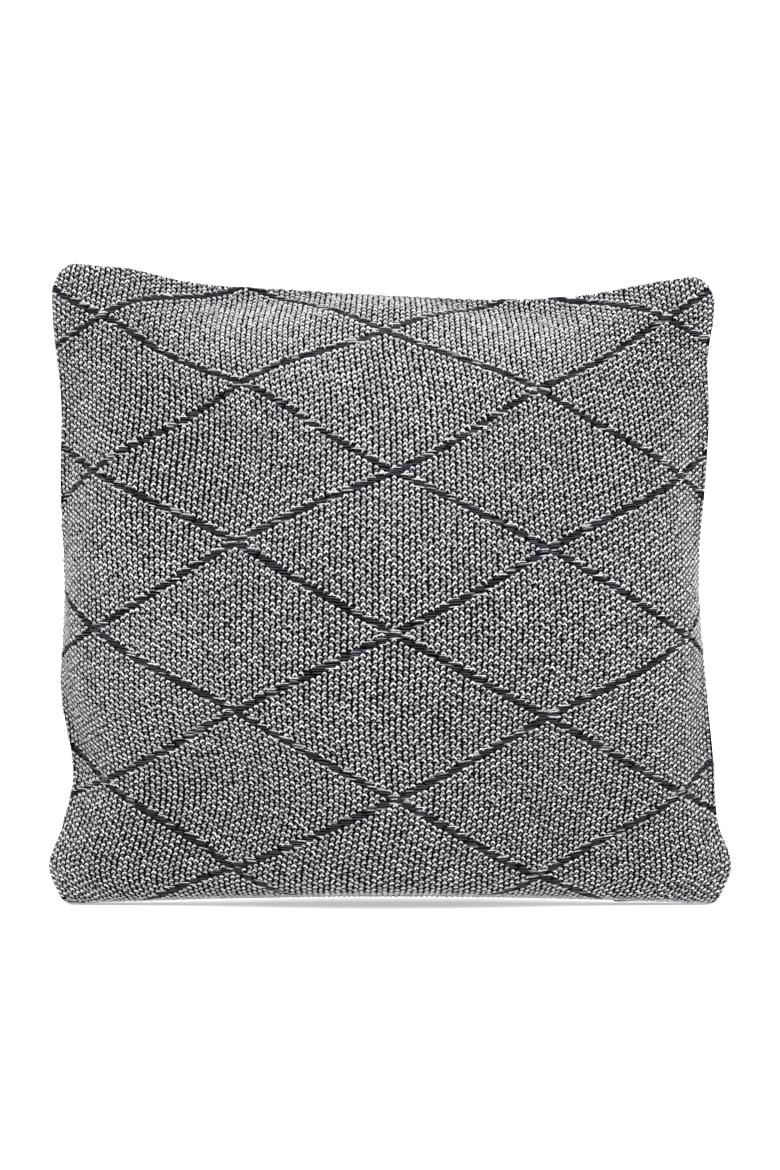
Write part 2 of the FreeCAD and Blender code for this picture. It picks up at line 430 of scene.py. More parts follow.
@dataclass(frozen=True)
class KnitGround:
    """The yarn that lies behind and between the light stitches, with painted shade in its gaps.

    Attributes:
        name: The material's name.
        deep: Near-black colour between the bumps: painted shade in the gaps.
        crest: Dim grey of the bumps' crests: the light yarn's purl bits, painted darker as in shade.
    """

    name: str
    deep: Colour
    crest: Colour

    def make(self) -> bpy.types.Material:
        """The material: low purl bumps in the gaps of the staggered stitches, their colour painted dark
        as shade, and darkest between them.

        The "knit" map counts columns and rows, and a bump's height is the square of -cos(pi *
        column) * cos(2 * pi * row) where that is above nought: 1 midway between stitches.
        """
        n = Nodes(self.name)
        column, row, _ = n.parts_of(n.add("ShaderNodeUVMap", uv_map="knit").outputs[0])
        across = n.math("COSINE", n.math("MULTIPLY", column, math.pi))
        up = n.math("COSINE", n.math("MULTIPLY", row, TURN))
        bumps = n.math("MAXIMUM", n.math("MULTIPLY", n.math("MULTIPLY", across, up), -1.0), 0.0)
        bumps = n.math("MULTIPLY", bumps, bumps)
        fibre = n.noise(1100.0)
        lit = n.math("MULTIPLY", n.tone(), 1.5)
        # Painted shade: the colour follows the bumps' height, near black in the gaps and dim grey on
        # the crests.
        share = n.math("MULTIPLY", n.math("MULTIPLY", bumps, fibre), lit)
        n.mixed_colour(share, self.deep, self.crest)
        n.bump(n.math("MULTIPLY_ADD", fibre, 0.3, bumps), 0.7, 0.0007)
        return n.set(Roughness=0.95, Specular_IOR_Level=0.04)


@dataclass(frozen=True)
class Woven:
    """Plain-woven cloth or tape: warp and weft threads over and under each other.

    Attributes:
        name: The material's name.
        deep: Colour between the threads: painted shade where they dip under each other.
        crest: Colour of the threads.
        pitch: Distance between threads, in metres.
        roughness: Roughness of the threads.
        diagonal: Whether the threads lie in a herringbone slant, as in zip tape.
    """

    name: str
    deep: Colour
    crest: Colour
    pitch: float
    roughness: float = 0.8
    diagonal: bool = False

    def make(self) -> bpy.types.Material:
        """The material: crests of warp and weft, with painted shade between them, thread noise and slow
        patches.

        With a and b as pi / pitch times the place along the two threads, a crest's height is
        |sin(a) * sin(b)|, or |sin(a + |b|)| in a herringbone.
        """
        n = Nodes(self.name)
        x, y, z = n.parts_of(n.place())
        warp = n.math("MULTIPLY", x, math.pi / self.pitch)
        weft = n.math("MULTIPLY", y if self.diagonal else z, math.pi / self.pitch)
        if self.diagonal:
            weave = n.math("SINE", n.math("ADD", warp, n.math("ABSOLUTE", weft)))
        else:
            weave = n.math("MULTIPLY", n.math("SINE", warp), n.math("SINE", weft))
        weave = n.math("ABSOLUTE", weave)
        patches, thread = n.noise(60.0, 2.0), n.noise(2200.0, 2.0)
        # Painted shade: the colour darkens between the threads, with the weave's height.
        crests = n.math("MULTIPLY_ADD", weave, 0.6, 0.4)
        share = n.math("MULTIPLY", crests, n.math("ADD", thread, 0.3))
        share = n.math("MULTIPLY", share, n.math("MULTIPLY_ADD", patches, 0.3, 0.85))
        n.mixed_colour(share, self.deep, self.crest)
        n.bump(weave, 0.6, self.pitch * 0.35)
        return n.set(Roughness=self.roughness, Sheen_Weight=0.15)


@dataclass(frozen=True)
class Hard:
    """Metal or nylon of the zip, with fine wear.

    Attributes:
        name: The material's name.
        colour: Base colour.
        worn: Colour where the finish has rubbed away.
        metallic: 1 for metal, 0 for nylon.
        roughness: Roughness of the clean finish.
    """

    name: str
    colour: Colour
    worn: Colour
    metallic: float
    roughness: float

    def make(self) -> bpy.types.Material:
        """The material: worn specks, uneven gloss and a fine cast grain."""
        n = Nodes(self.name)
        rubbed = n.math("GREATER_THAN", n.noise(900.0, 4.0), 0.66)
        n.mixed_colour(rubbed, self.colour, self.worn)
        grain = n.noise(3500.0, 2.0)
        rough = n.math("MULTIPLY_ADD", grain, 0.15, self.roughness)
        n.feed(n.shader.inputs["Roughness"], rough)
        n.bump(grain, 0.15, 0.0001)
        return n.set(Metallic=self.metallic)


LIGHT_YARN = Yarn("light_yarn", (0.09, 0.09, 0.105), (0.95, 0.95, 0.96), plies=1.2)
CHARCOAL_YARN = Yarn("charcoal_yarn", (0.003, 0.003, 0.006), (0.065, 0.065, 0.090))
# The light yarn painted darker, as shade, for the bits that dip low between stitches.
SHADED_FOOT_YARN = Yarn("foot_yarn_painted_shade", (0.02, 0.02, 0.026), (0.42, 0.42, 0.45), plies=1.0)
KNIT_GROUND = KnitGround("knit_ground", (0.0010, 0.0010, 0.0016), (0.09, 0.09, 0.10))
SEWING_THREAD = Yarn("sewing_thread", (0.01, 0.01, 0.015), (0.05, 0.05, 0.065), 5.0, 0.6)
WHITE_THREAD = Yarn("white_thread", (0.5, 0.5, 0.48), (0.85, 0.85, 0.82), 5.0, 0.6)
ZIP_TAPE = Woven("zip_tape_weave", (0.008, 0.008, 0.012), (0.05, 0.05, 0.065), 0.0009, diagonal=True)
CASING_CLOTH = Woven("casing_cloth", (0.55, 0.55, 0.52), (0.86, 0.86, 0.83), 0.0007)
LABEL_SATIN = Woven("label_satin", (0.62, 0.62, 0.60), (0.90, 0.90, 0.88), 0.0004, roughness=0.45)
FIBRE = Woven("fibre_wadding", (0.7, 0.7, 0.69), (0.93, 0.93, 0.92), 0.004, roughness=0.95)
NYLON = Hard("coil_nylon", (0.02, 0.02, 0.026), (0.035, 0.035, 0.045), 0.0, 0.32)
LACQUER = Hard("zip_lacquer", (0.03, 0.03, 0.036), (0.30, 0.30, 0.31), 1.0, 0.30)
STEEL = Hard("stop_steel", (0.42, 0.42, 0.44), (0.60, 0.60, 0.60), 1.0, 0.28)

THREAD_TONE = 0.9
BAND_TONE = 0.8


class Finishes:
    """Makes each finish's material once, when it is first asked for."""

    def __init__(self) -> None:
        """Starts with no materials made."""
        self.made: dict[str, bpy.types.Material] = {}

    def dress(
        self, piece: bpy.types.Object, finish: Yarn | KnitGround | Woven | Hard, slot: str,
        body: Body = Body.PILLOW, node: str | None = None, tone: float | None = None,
    ) -> bpy.types.Object:
        """Gives a piece its material, its body and what it stands for.

        Args:
            piece: The new piece.
            finish: What it is made of.
            slot: The record's material slot; not used.
            body: The body that it rides on.
            node: The CAD node that it replaces, if any.
            tone: One tone for a whole thread; left out where the yarn has its own map.

        Returns:
            The piece.
        """
        if finish.name not in self.made:
            self.made[finish.name] = finish.make()
        piece.data.materials.append(self.made[finish.name])
        if tone is not None:
            count = len(piece.data.vertices)
            add_tone(piece, np.full(count, tone))
            add_uv(piece, "yarn", np.zeros((count, 2)))
        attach(piece, body.value)
        if node:
            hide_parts(node)
        return piece


# ---------------------------------------------------------------------------------------------
# The stuffed form


@dataclass
class Cloth:
    """A cloth surface on an even grid of its flat panel.

    Attributes:
        points: Places of the grid, shape (across, up, 3).
        left: Flat place of the first column, in metres from the panel's middle.
        low: Flat place of the first row, in metres from the bottom seam.
        step: Distance between grid points on the flat panel.
        side: Which panel this is.
        normals: Outward directions at the grid's points.
    """

    points: np.ndarray
    left: float
    low: float
    step: float
    side: Side
    normals: np.ndarray = field(init=False)

    def __post_init__(self) -> None:
        """Works out the outward normals: the cross product of the two grid directions.

        Their Y is nought at a sewn edge and halved one point in from it, so that they lean into
        the seam's plane and the knit closes over the seam.
        """
        across = np.gradient(self.points, axis=0)
        up = np.gradient(self.points, axis=1)
        normals = unit(np.cross(across, up) * -self.side.value)
        for k, lean in enumerate((0.0, 0.5)):
            for edge in (normals[k], normals[-1 - k], normals[:, -1 - k]):
                edge[..., 1] *= lean
        self.normals = unit(normals)

    def at(self, across: np.ndarray, up: np.ndarray, height: np.ndarray | float = 0.0) -> np.ndarray:
        """Places on the cloth, by bilinear weights of the four grid points round each.

        Args:
            across: Flat places from the panel's middle, in metres.
            up: Flat places from the bottom seam, in metres.
            height: How far each place stands off the cloth.

        Returns:
            The places, with a last axis of three.
        """
        columns, rows = self.points.shape[:2]
        i = np.clip((across - self.left) / self.step, 0, columns - 1.001)
        j = np.clip((up - self.low) / self.step, 0, rows - 1.001)
        i0, j0 = i.astype(int), j.astype(int)
        p, q = (i - i0)[..., None], (j - j0)[..., None]

        def blend(grid: np.ndarray) -> np.ndarray:
            """The grid's values between its points."""
            near = grid[i0, j0] * (1 - p) + grid[i0 + 1, j0] * p
            far = grid[i0, j0 + 1] * (1 - p) + grid[i0 + 1, j0 + 1] * p
            return near * (1 - q) + far * q

        return blend(self.points) + unit(blend(self.normals)) * np.asarray(height)[..., None]


@dataclass
class StuffedForm:
    """The shape of the stuffed cover as it stands.

    Attributes:
        flat: Side of the flat square panels.
        cells: Cells along a side of the simulated panels.
        refine: Grid points per simulated cell in the finished surface.
        volume: Volume that the filling holds the case to, in cubic metres.
        frames: Steps of the simulation.
        detail: Highest degree of the polynomials that the puckers are eased onto.
        depth: Half the finished depth at its fullest.
        belly: Height of the fullest place.
        fall: How much the depth falls off from the belly to the top and to the bottom.
        fall_reach: Distances that those two falls take.
        side_fall: How much the depth falls off from the middle to a side.
        side_reach: Distance that this fall takes.
        left_edge: (height, distance from the middle) of the left outline, in millimetres.
        right_edge: The same for the right outline.
        top_edge: (place across, height) of the top outline, in millimetres.
        top_corners: Places across of the two top corners, in millimetres.
        corner: Radius that the four corners are rounded within.
        corner_puff: How far the filling pushes each panel out behind a corner.
        puff_reach: How far from the corner that push reaches.
        puff_edge: Distance from a seam in which the push rises to its full size.
        bottom_seam: Height of the bottom seam before the floor flattens it.
        floor_least: Height of the underside at its two ends.
        floor_arch: How much higher the middle of the bottom stands off the floor.
        floor_half: Half the length of the underside.
        floor_soft: How gently the cloth turns from the floor up the panel.
        keel: How fast the underside rises from the zip outwards.
        lip_gap: Half the gap between the panels' turned edges at the zip.
        lip_least: Half the gap where the edges are sewn to each other.
        lip_end: Length in which the gap closes at an end of the opening.
        opening: Half the length of the slot, to where its gap has half closed.
        hem: How far each panel turns in beside the zip.
        hem_height: Height of the turned hem, just under the tapes.
        fold_ease: How much of each bend the fold of the lip gives up, two times over.
    """

    flat: float = 0.450
    cells: int = 60
    refine: int = 4
    volume: float = 0.0120
    frames: int = 60
    detail: int = 9
    depth: float = 0.0690
    belly: float = 0.165
    fall: tuple[float, float] = (0.55, 0.35)
    fall_reach: tuple[float, float] = (0.235, 0.165)
    side_fall: float = 0.42
    side_reach: float = 0.215
    left_edge: Keys = (
        (-16, 213), (0, 216), (24, 225), (52, 216), (80, 209.5), (140, 217), (200, 214.5),
        (280, 217.5), (330, 217), (400, 223), (422, 222),
    )
    right_edge: Keys = (
        (-16, 213), (0, 216), (24, 225), (52, 217), (100, 213), (160, 207), (215, 203.6),
        (290, 209), (330, 210.5), (356, 209.5), (395, 214), (414, 213),
    )
    top_edge: Keys = (
        (-223, 425), (-200, 422), (-170, 418.5), (-138, 411), (-60, 404.5), (20, 400), (60, 398.5),
        (125, 401), (175, 410), (215, 417),
    )
    top_corners: tuple[float, float] = (-223.0, 213.0)
    corner: float = 0.020
    corner_puff: float = 0.006
    puff_reach: float = 0.05
    puff_edge: float = 0.022
    bottom_seam: float = -0.016
    floor_least: float = 0.0013
    floor_arch: float = 0.0045
    floor_half: float = 0.212
    floor_soft: float = 0.0022
    keel: float = 0.15
    lip_gap: float = 0.0046
    lip_least: float = 0.0003
    lip_end: float = 0.0015
    opening: float = 0.182
    hem: float = 0.0131
    hem_height: float = 0.0078
    fold_ease: float = 0.35

    def blow_up(self) -> tuple[np.ndarray, np.ndarray]:
        """Sews two flat panels round their edges and blows them up as cloth to the filling's volume.

        The panels start apart by a low bulge, cos(pi * x / flat) * cos(pi * z / flat), so that
        the pressure knows which way is out.

        Returns:
            The front and back panels' points, each of shape (cells + 1, cells + 1, 3).
        """
        n = self.cells + 1
        line = np.linspace(-self.flat / 2, self.flat / 2, n)
        x, z = np.meshgrid(line, line, indexing="ij")
        bulge_x, bulge_z = np.cos(math.pi * x / self.flat), np.cos(math.pi * z / self.flat)
        start = 0.004 * bulge_x * bulge_z
        inner = np.zeros((n, n), bool)
        inner[1:-1, 1:-1] = True
        front = np.arange(n * n).reshape(n, n)
        back = front.copy()
        back[inner] = n * n + np.arange(inner.sum())
        points = np.concatenate([
            np.stack([x, -start, z], -1).reshape(-1, 3),
            np.stack([x, start, z], -1)[inner],
        ])
        quads = grid_faces(n, n)
        faces = [front.ravel()[quads[:, ::-1]], back.ravel()[quads]]
        case = add_mesh("case_simulation", points, faces)
        modifier = case.modifiers.new("cloth", "CLOTH")
        settings = modifier.settings
        settings.quality = 6
        settings.mass = 0.3
        settings.tension_stiffness = settings.compression_stiffness = 15
        settings.shear_stiffness = 5
        settings.bending_stiffness = 0.5
        settings.air_damping = 2
        settings.use_pressure = True
        settings.uniform_pressure_force = 0
        settings.use_pressure_volume = True
        settings.target_volume = self.volume
        settings.pressure_factor = 1
        settings.effector_weights.gravity = 0
        modifier.collision_settings.use_collision = False
        modifier.point_cache.frame_start = 1
        modifier.point_cache.frame_end = self.frames
        scene = bpy.context.scene
        scene.frame_start, scene.frame_end = 1, self.frames
        for step in range(1, self.frames + 1):
            scene.frame_set(step)
        blown = case.evaluated_get(bpy.context.evaluated_depsgraph_get())
        places = np.empty(len(blown.data.vertices) * 3, np.float32)
        blown.data.vertices.foreach_get("co", places)
        places = places.reshape(-1, 3).astype(float)
        bpy.data.objects.remove(case)  # the cloth modifier goes with it
        scene.frame_set(1)
        return places[front], places[back]

    def eased(self, front: np.ndarray, back: np.ndarray) -> np.ndarray:
        """One even panel from the two blown-up ones, its puckers eased out and its shape kept.

        The panels and their left and right halves are averaged. The moves across and up, and the
        depth over an edge curve ((1 - s ** 4) * (1 - t ** 4)) ** 0.6 that is nought round the
        seam, are then replaced by their least-squares fit of Legendre polynomials each way; s
        and t run from -1 to 1. The depth is fitted two cells in from the seam, where the edge
        curve is well above nought.

        Args:
            front: The front panel's points.
            back: The back panel's points.

        Returns:
            The points of one panel on the side of +Y.
        """
        mean = (front * [1, -1, 1] + back) / 2
        mean = (mean + mean[::-1] * [-1, 1, 1]) / 2
        n = len(mean)
        line = np.linspace(-1, 1, n)
        basis = np.polynomial.legendre.legvander(line, self.detail)
        whole, inner = basis @ np.linalg.pinv(basis), basis @ np.linalg.pinv(basis[2:-2])
        s, t = np.meshgrid(line, line, indexing="ij")
        edge = (np.clip(1 - s**4, 0, 1) * np.clip(1 - t**4, 0, 1)) ** 0.6
        start = np.stack([s, 0 * s, t], -1) * self.flat / 2
        smooth = np.einsum("ij,jkc,lk->ilc", whole, mean - start, whole)
        thickness = (mean[..., 1] / np.maximum(edge, 1e-9))[2:-2, 2:-2]
        smooth[..., 1] = inner @ thickness @ inner.T * edge
        return start + smooth

    def crowned(self, points: np.ndarray) -> np.ndarray:
        """Thins the filling away from the belly, then sets the depth at its fullest.

        Depth is multiplied by (1 - fall * up ** 2) * (1 - side_fall * across ** 2), where up and
        across run from 0 at the belly to 1 at the edges.
        """
        points = points.copy()
        up = points[..., 2] - self.belly
        above, below = (f * (up / reach) ** 2 for f, reach in zip(self.fall, self.fall_reach))
        side_fall = self.side_fall * (points[..., 0] / self.side_reach) ** 2
        points[..., 1] *= (1 - np.where(up > 0, above, below)) * (1 - side_fall)
        points[..., 1] *= self.depth / np.abs(points[..., 1]).max()
        return points

    def outlined(self, points: np.ndarray) -> np.ndarray:
        """Draws a panel's edges to the outline, and its inside with them, as a Coons patch does.

        The move of an inner point is the sum of the moves of the four edge points in line with
        it, weighted by nearness, less the same sum over the corners.
        """
        n = len(points)
        share = np.linspace(0, 1, n)
        low = self.bottom_seam
        left_top, right_top = smooth_curve(self.top_edge, np.array(self.top_corners)) * MM
        left_z, right_z = low + (left_top - low) * share, low + (right_top - low) * share
        left = np.stack([-smooth_curve(self.left_edge, left_z / MM) * MM, 0 * share, left_z], -1)
        right = np.stack([smooth_curve(self.right_edge, right_z / MM) * MM, 0 * share, right_z], -1)
        bottom_x = left[0, 0] + (right[0, 0] - left[0, 0]) * share
        bottom = np.stack([bottom_x, 0 * share, np.full(n, low)], -1)
        top_x = left[-1, 0] + (right[-1, 0] - left[-1, 0]) * share
        top = np.stack([top_x, 0 * share, smooth_curve(self.top_edge, top_x / MM) * MM], -1)
        moves = {
            "left": left - points[0], "right": right - points[-1],
            "bottom": bottom - points[:, 0], "top": top - points[:, -1],
        }
        s, t = share[:, None, None], share[None, :, None]
        sides = (1 - s) * moves["left"][None] + s * moves["right"][None]
        ends = (1 - t) * moves["bottom"][:, None] + t * moves["top"][:, None]
        corners = (
            (1 - s) * (1 - t) * moves["left"][0] + (1 - s) * t * moves["left"][-1]
            + s * (1 - t) * moves["right"][0] + s * t * moves["right"][-1]
        )
        return points + sides + ends - corners

    def rounded(self, points: np.ndarray, side: Side) -> np.ndarray:
        """Rounds the four corners and fills them out.

        Within the corner's radius, (u, v) from 0 to 1 towards the corner become
        (u * sqrt(1 - v * v / 2), v * sqrt(1 - u * u / 2)), which turns the square into a disc.
        The panel then moves out by puff * exp(-(distance / reach) ** 2), rising from the seam
        as a quarter circle does.
        """
        points = points.copy()
        radius = self.corner
        n = len(points) - 1
        column, row = np.meshgrid(np.arange(n + 1), np.arange(n + 1), indexing="ij")
        from_edge = np.minimum.reduce([column, row, n - column, n - row]) / n * self.flat
        round_in = np.sqrt(1 - (1 - np.clip(from_edge / self.puff_edge, 0, 1)) ** 2)
        puff = side.value * self.corner_puff
        for i, j in ((0, 0), (0, -1), (-1, 0), (-1, -1)):
            tip = points[i, j].copy()
            out_x, out_z = (-1 if i == 0 else 1), (-1 if j == 0 else 1)
            u = 1 - (tip[0] - points[..., 0]) * out_x / radius
            v = 1 - (tip[2] - points[..., 2]) * out_z / radius
            near = (u > 0) & (v > 0)
            u, v = np.clip(u, 0, 1), np.clip(v, 0, 1)
            new_u = u * np.sqrt(1 - v * v / 2)
            new_v = v * np.sqrt(1 - u * u / 2)
            points[..., 0] += np.where(near, (new_u - u) * radius * out_x, 0)
            points[..., 2] += np.where(near, (new_v - v) * radius * out_z, 0)
            away = np.hypot(points[..., 0] - tip[0], points[..., 2] - tip[2])
            points[..., 1] += puff * np.exp(-((away / self.puff_reach) ** 2)) * round_in
        return points

    def stood(self, points: np.ndarray, side: Side) -> np.ndarray:
        """Presses the bottom on the floor and opens the panel's lower edge to the zip's lip.

        Height becomes floor + soft * log(1 + exp((height - floor) / soft)), a smooth stop, and
        depth becomes (depth ** 3 + lip ** 3) ** (1 / 3), where the lip's gap closes at the ends
        of the opening by the logistic curve.
        """
        points = points.copy()
        x = points[..., 0]
        depth = np.abs(points[..., 1])
        middle = np.clip(1 - (x / self.floor_half) ** 2, 0, 1)
        floor = self.floor_least + self.floor_arch * middle + self.keel * depth * np.sqrt(middle)
        lift = (points[..., 2] - floor) / self.floor_soft
        points[..., 2] = floor + self.floor_soft * np.logaddexp(0, lift)
        past_end = (np.abs(x) - self.opening) / self.lip_end
        lip = self.lip_gap / (1 + np.exp(past_end)) + self.lip_least
        points[..., 1] = side.value * (depth**3 + lip**3) ** (1 / 3)
        return points

    def hemmed(self, points: np.ndarray, side: Side, step: float) -> np.ndarray:
        """Adds the rows that turn in at the lip: up to the tape, then out along its underside.

        A row's rise is its travel from the lip, up to the hem's height; what is left of the
        travel goes outwards. The fold is then eased towards the mean of its neighbours.

        Args:
            points: The panel's points, its lowest row at the lip.
            side: Which panel it is.
            step: Distance between rows on the flat panel.

        Returns:
            The points with the hem's rows first.
        """
        rows = int(round(self.hem / step))
        lip = points[:, 0]
        travel = (np.arange(rows, 0, -1) * step)[None, :]
        rise = np.minimum(travel, self.hem_height - lip[:, 2:3])
        spread = np.maximum(travel - rise, 0)
        turned = np.stack([
            lip[:, 0:1] + 0 * travel,
            lip[:, 1:2] + side.value * spread,
            lip[:, 2:3] + rise,
        ], -1)
        whole = np.concatenate([turned, points], axis=1)
        fold = slice(rows - 3, rows + 4)
        for _ in range(2):
            before, after = whole[:, rows - 4:rows + 3], whole[:, rows - 2:rows + 5]
            whole[:, fold] += self.fold_ease * ((before + after) / 2 - whole[:, fold])
        return whole

    def build(self) -> dict[Side, Cloth]:
        """The finished surface of each panel."""
        panel = self.eased(*self.blow_up())
        steps = self.cells * self.refine
        step = self.flat / steps
        made = {}
        for side in Side:
            points = panel * [1, side.value, 1]
            for _ in ("across", "up"):
                points = np.moveaxis(cubic_resample(points, steps + 1), 0, 1)
            points = self.rounded(self.crowned(self.outlined(points)), side)
            points = self.hemmed(self.stood(points, side), side, step)
            hem_rows = points.shape[1] - (steps + 1)
            made[side] = Cloth(points, -self.flat / 2, -hem_rows * step, step, side)
        return made


# ---------------------------------------------------------------------------------------------
# The knitted cover


@dataclass
class KnitLay:
    """How the knit's columns and rows, and its lattice of charcoal lines, lie on the flat panel.

    The knit is counted in stitches from a crossing of two lines near the bottom middle. The
    filling stretches it a little unevenly, so columns and rows drift from an even count.

    Attributes:
        columns: Stitch columns from one crossing to the next across, half a diamond's width.
        rows: Rows from one crossing to the next up, a diamond's height.
        span: Distance that those columns cover on the flat panel.
        rise: Distance that those rows cover.
        middle: Place across of the count's start.
        low: Place up of the count's start.
        lean: (diamonds up, millimetres) that the columns drift across.
        sag: (diamonds up, millimetres) that the rows drift up, in the middle column of
            crossings, in the next ones and in the outer ones.
        stray: (diamonds up, millimetres) that the outer columns of crossings drift across, on
            the left and on the right.
        tilt: Drift up of the rows, per half diamond across and diamond up.
        level: Where that tilt is nought, in diamonds up.
    """

    columns: int = 27
    rows: int = 27
    span: float = 0.0955
    rise: float = 0.1030
    middle: float = 0.0040
    low: float = 0.1100
    lean: Keys = ((-0.5, -7), (0.5, 1), (1.5, 3.5), (3, -2))
    sag: tuple[Keys, ...] = (
        ((0, 3.5), (1, 1), (2, -5.5), (3, -16)),
        ((-0.5, -4), (0.5, 0), (1.5, 1), (2.5, 5), (3.5, -17)),
        ((0, -8.5), (1, -7.5), (2, -7), (3, -2)),
    )
    stray: tuple[Keys, ...] = (
        ((0, -4.5), (1, 5), (2, -6.5), (3, 1.5)),
        ((0, 1), (1, -4), (2, 1.5), (3, -3.5)),
    )
    tilt: float = 0.0012
    level: float = 1.3

    def place(self, column: np.ndarray, row: np.ndarray) -> tuple[np.ndarray, np.ndarray]:
        """Places on the flat panel of stitches counted across and up.

        With u and v as the counts in half diamonds across and diamonds up, across is middle +
        span * u + lean and up is low + rise * v + sag + tilt * u * (v - level). The sag goes
        from one curve to the next by q * q * (3 - 2 * q) between neighbouring columns of
        crossings, and so does the stray past the inner ones.

        Args:
            column: Counts across.
            row: Counts up.

        Returns:
            Places across, from the panel's middle, and up, from the bottom seam.
        """
        u, v = column / self.columns, row / self.rows
        across = self.middle + self.span * u + smooth_curve(self.lean, v) * MM
        for way, keys in zip((-1, 1), self.stray):
            q = np.clip(way * u - 1, 0, 1)
            across = across + smooth_curve(keys, v) * MM * q * q * (3 - 2 * q)
        drifts = [smooth_curve(keys, v) * MM for keys in self.sag]
        drift = drifts[0]
        for k in (1, 2):
            q = np.clip(np.abs(u) - k + 1, 0, 1)
            drift = drift + (drifts[k] - drifts[k - 1]) * q * q * (3 - 2 * q)
        return across, self.low + self.rise * v + drift + self.tilt * u * (v - self.level)

    def count(self, across: np.ndarray, up: np.ndarray) -> tuple[np.ndarray, np.ndarray]:
        """The column and row at places on the flat panel, which is place() turned round.

        Eight times over, the miss is divided by the even pitch and added to the counts.
        """
        column, row = 0 * across, 0 * up
        for _ in range(8):
            there_across, there_up = self.place(column, row)
            column = column + (across - there_across) / self.span * self.columns
            row = row + (up - there_up) / self.rise * self.rows
        return column, row

    def off_line(self, column: np.ndarray, row: np.ndarray) -> np.ndarray:
        """Rows up or down to the nearest line; a line climbs one row in every two columns."""
        found = []
        for way in (-0.5, 0.5):
            offset = row - way * column
            found.append(np.abs((offset + self.rows / 2) % self.rows - self.rows / 2))
        return np.minimum(*found)


@dataclass(frozen=True)
class Float:
    """The make of the floats that a lattice line is built up of.

    Attributes:
        word: What ends the name of their piece.
        half: Half a float's length.
        radius: Radius of its yarn.
        stand: How far it stands off the ground.
        lowest: The lowest tone of a float.
        finish: Its yarn.
    """

    word: str
    half: float
    radius: float
    stand: float
    lowest: float
    finish: Yarn


DARK_FLOAT = Float("lines", 0.0042, 0.00042, 0.0006, 0.0, CHARCOAL_YARN)
LIGHT_FLOAT = Float("line_rims", 0.0036, 0.00034, 0.0008, 0.15, LIGHT_YARN)


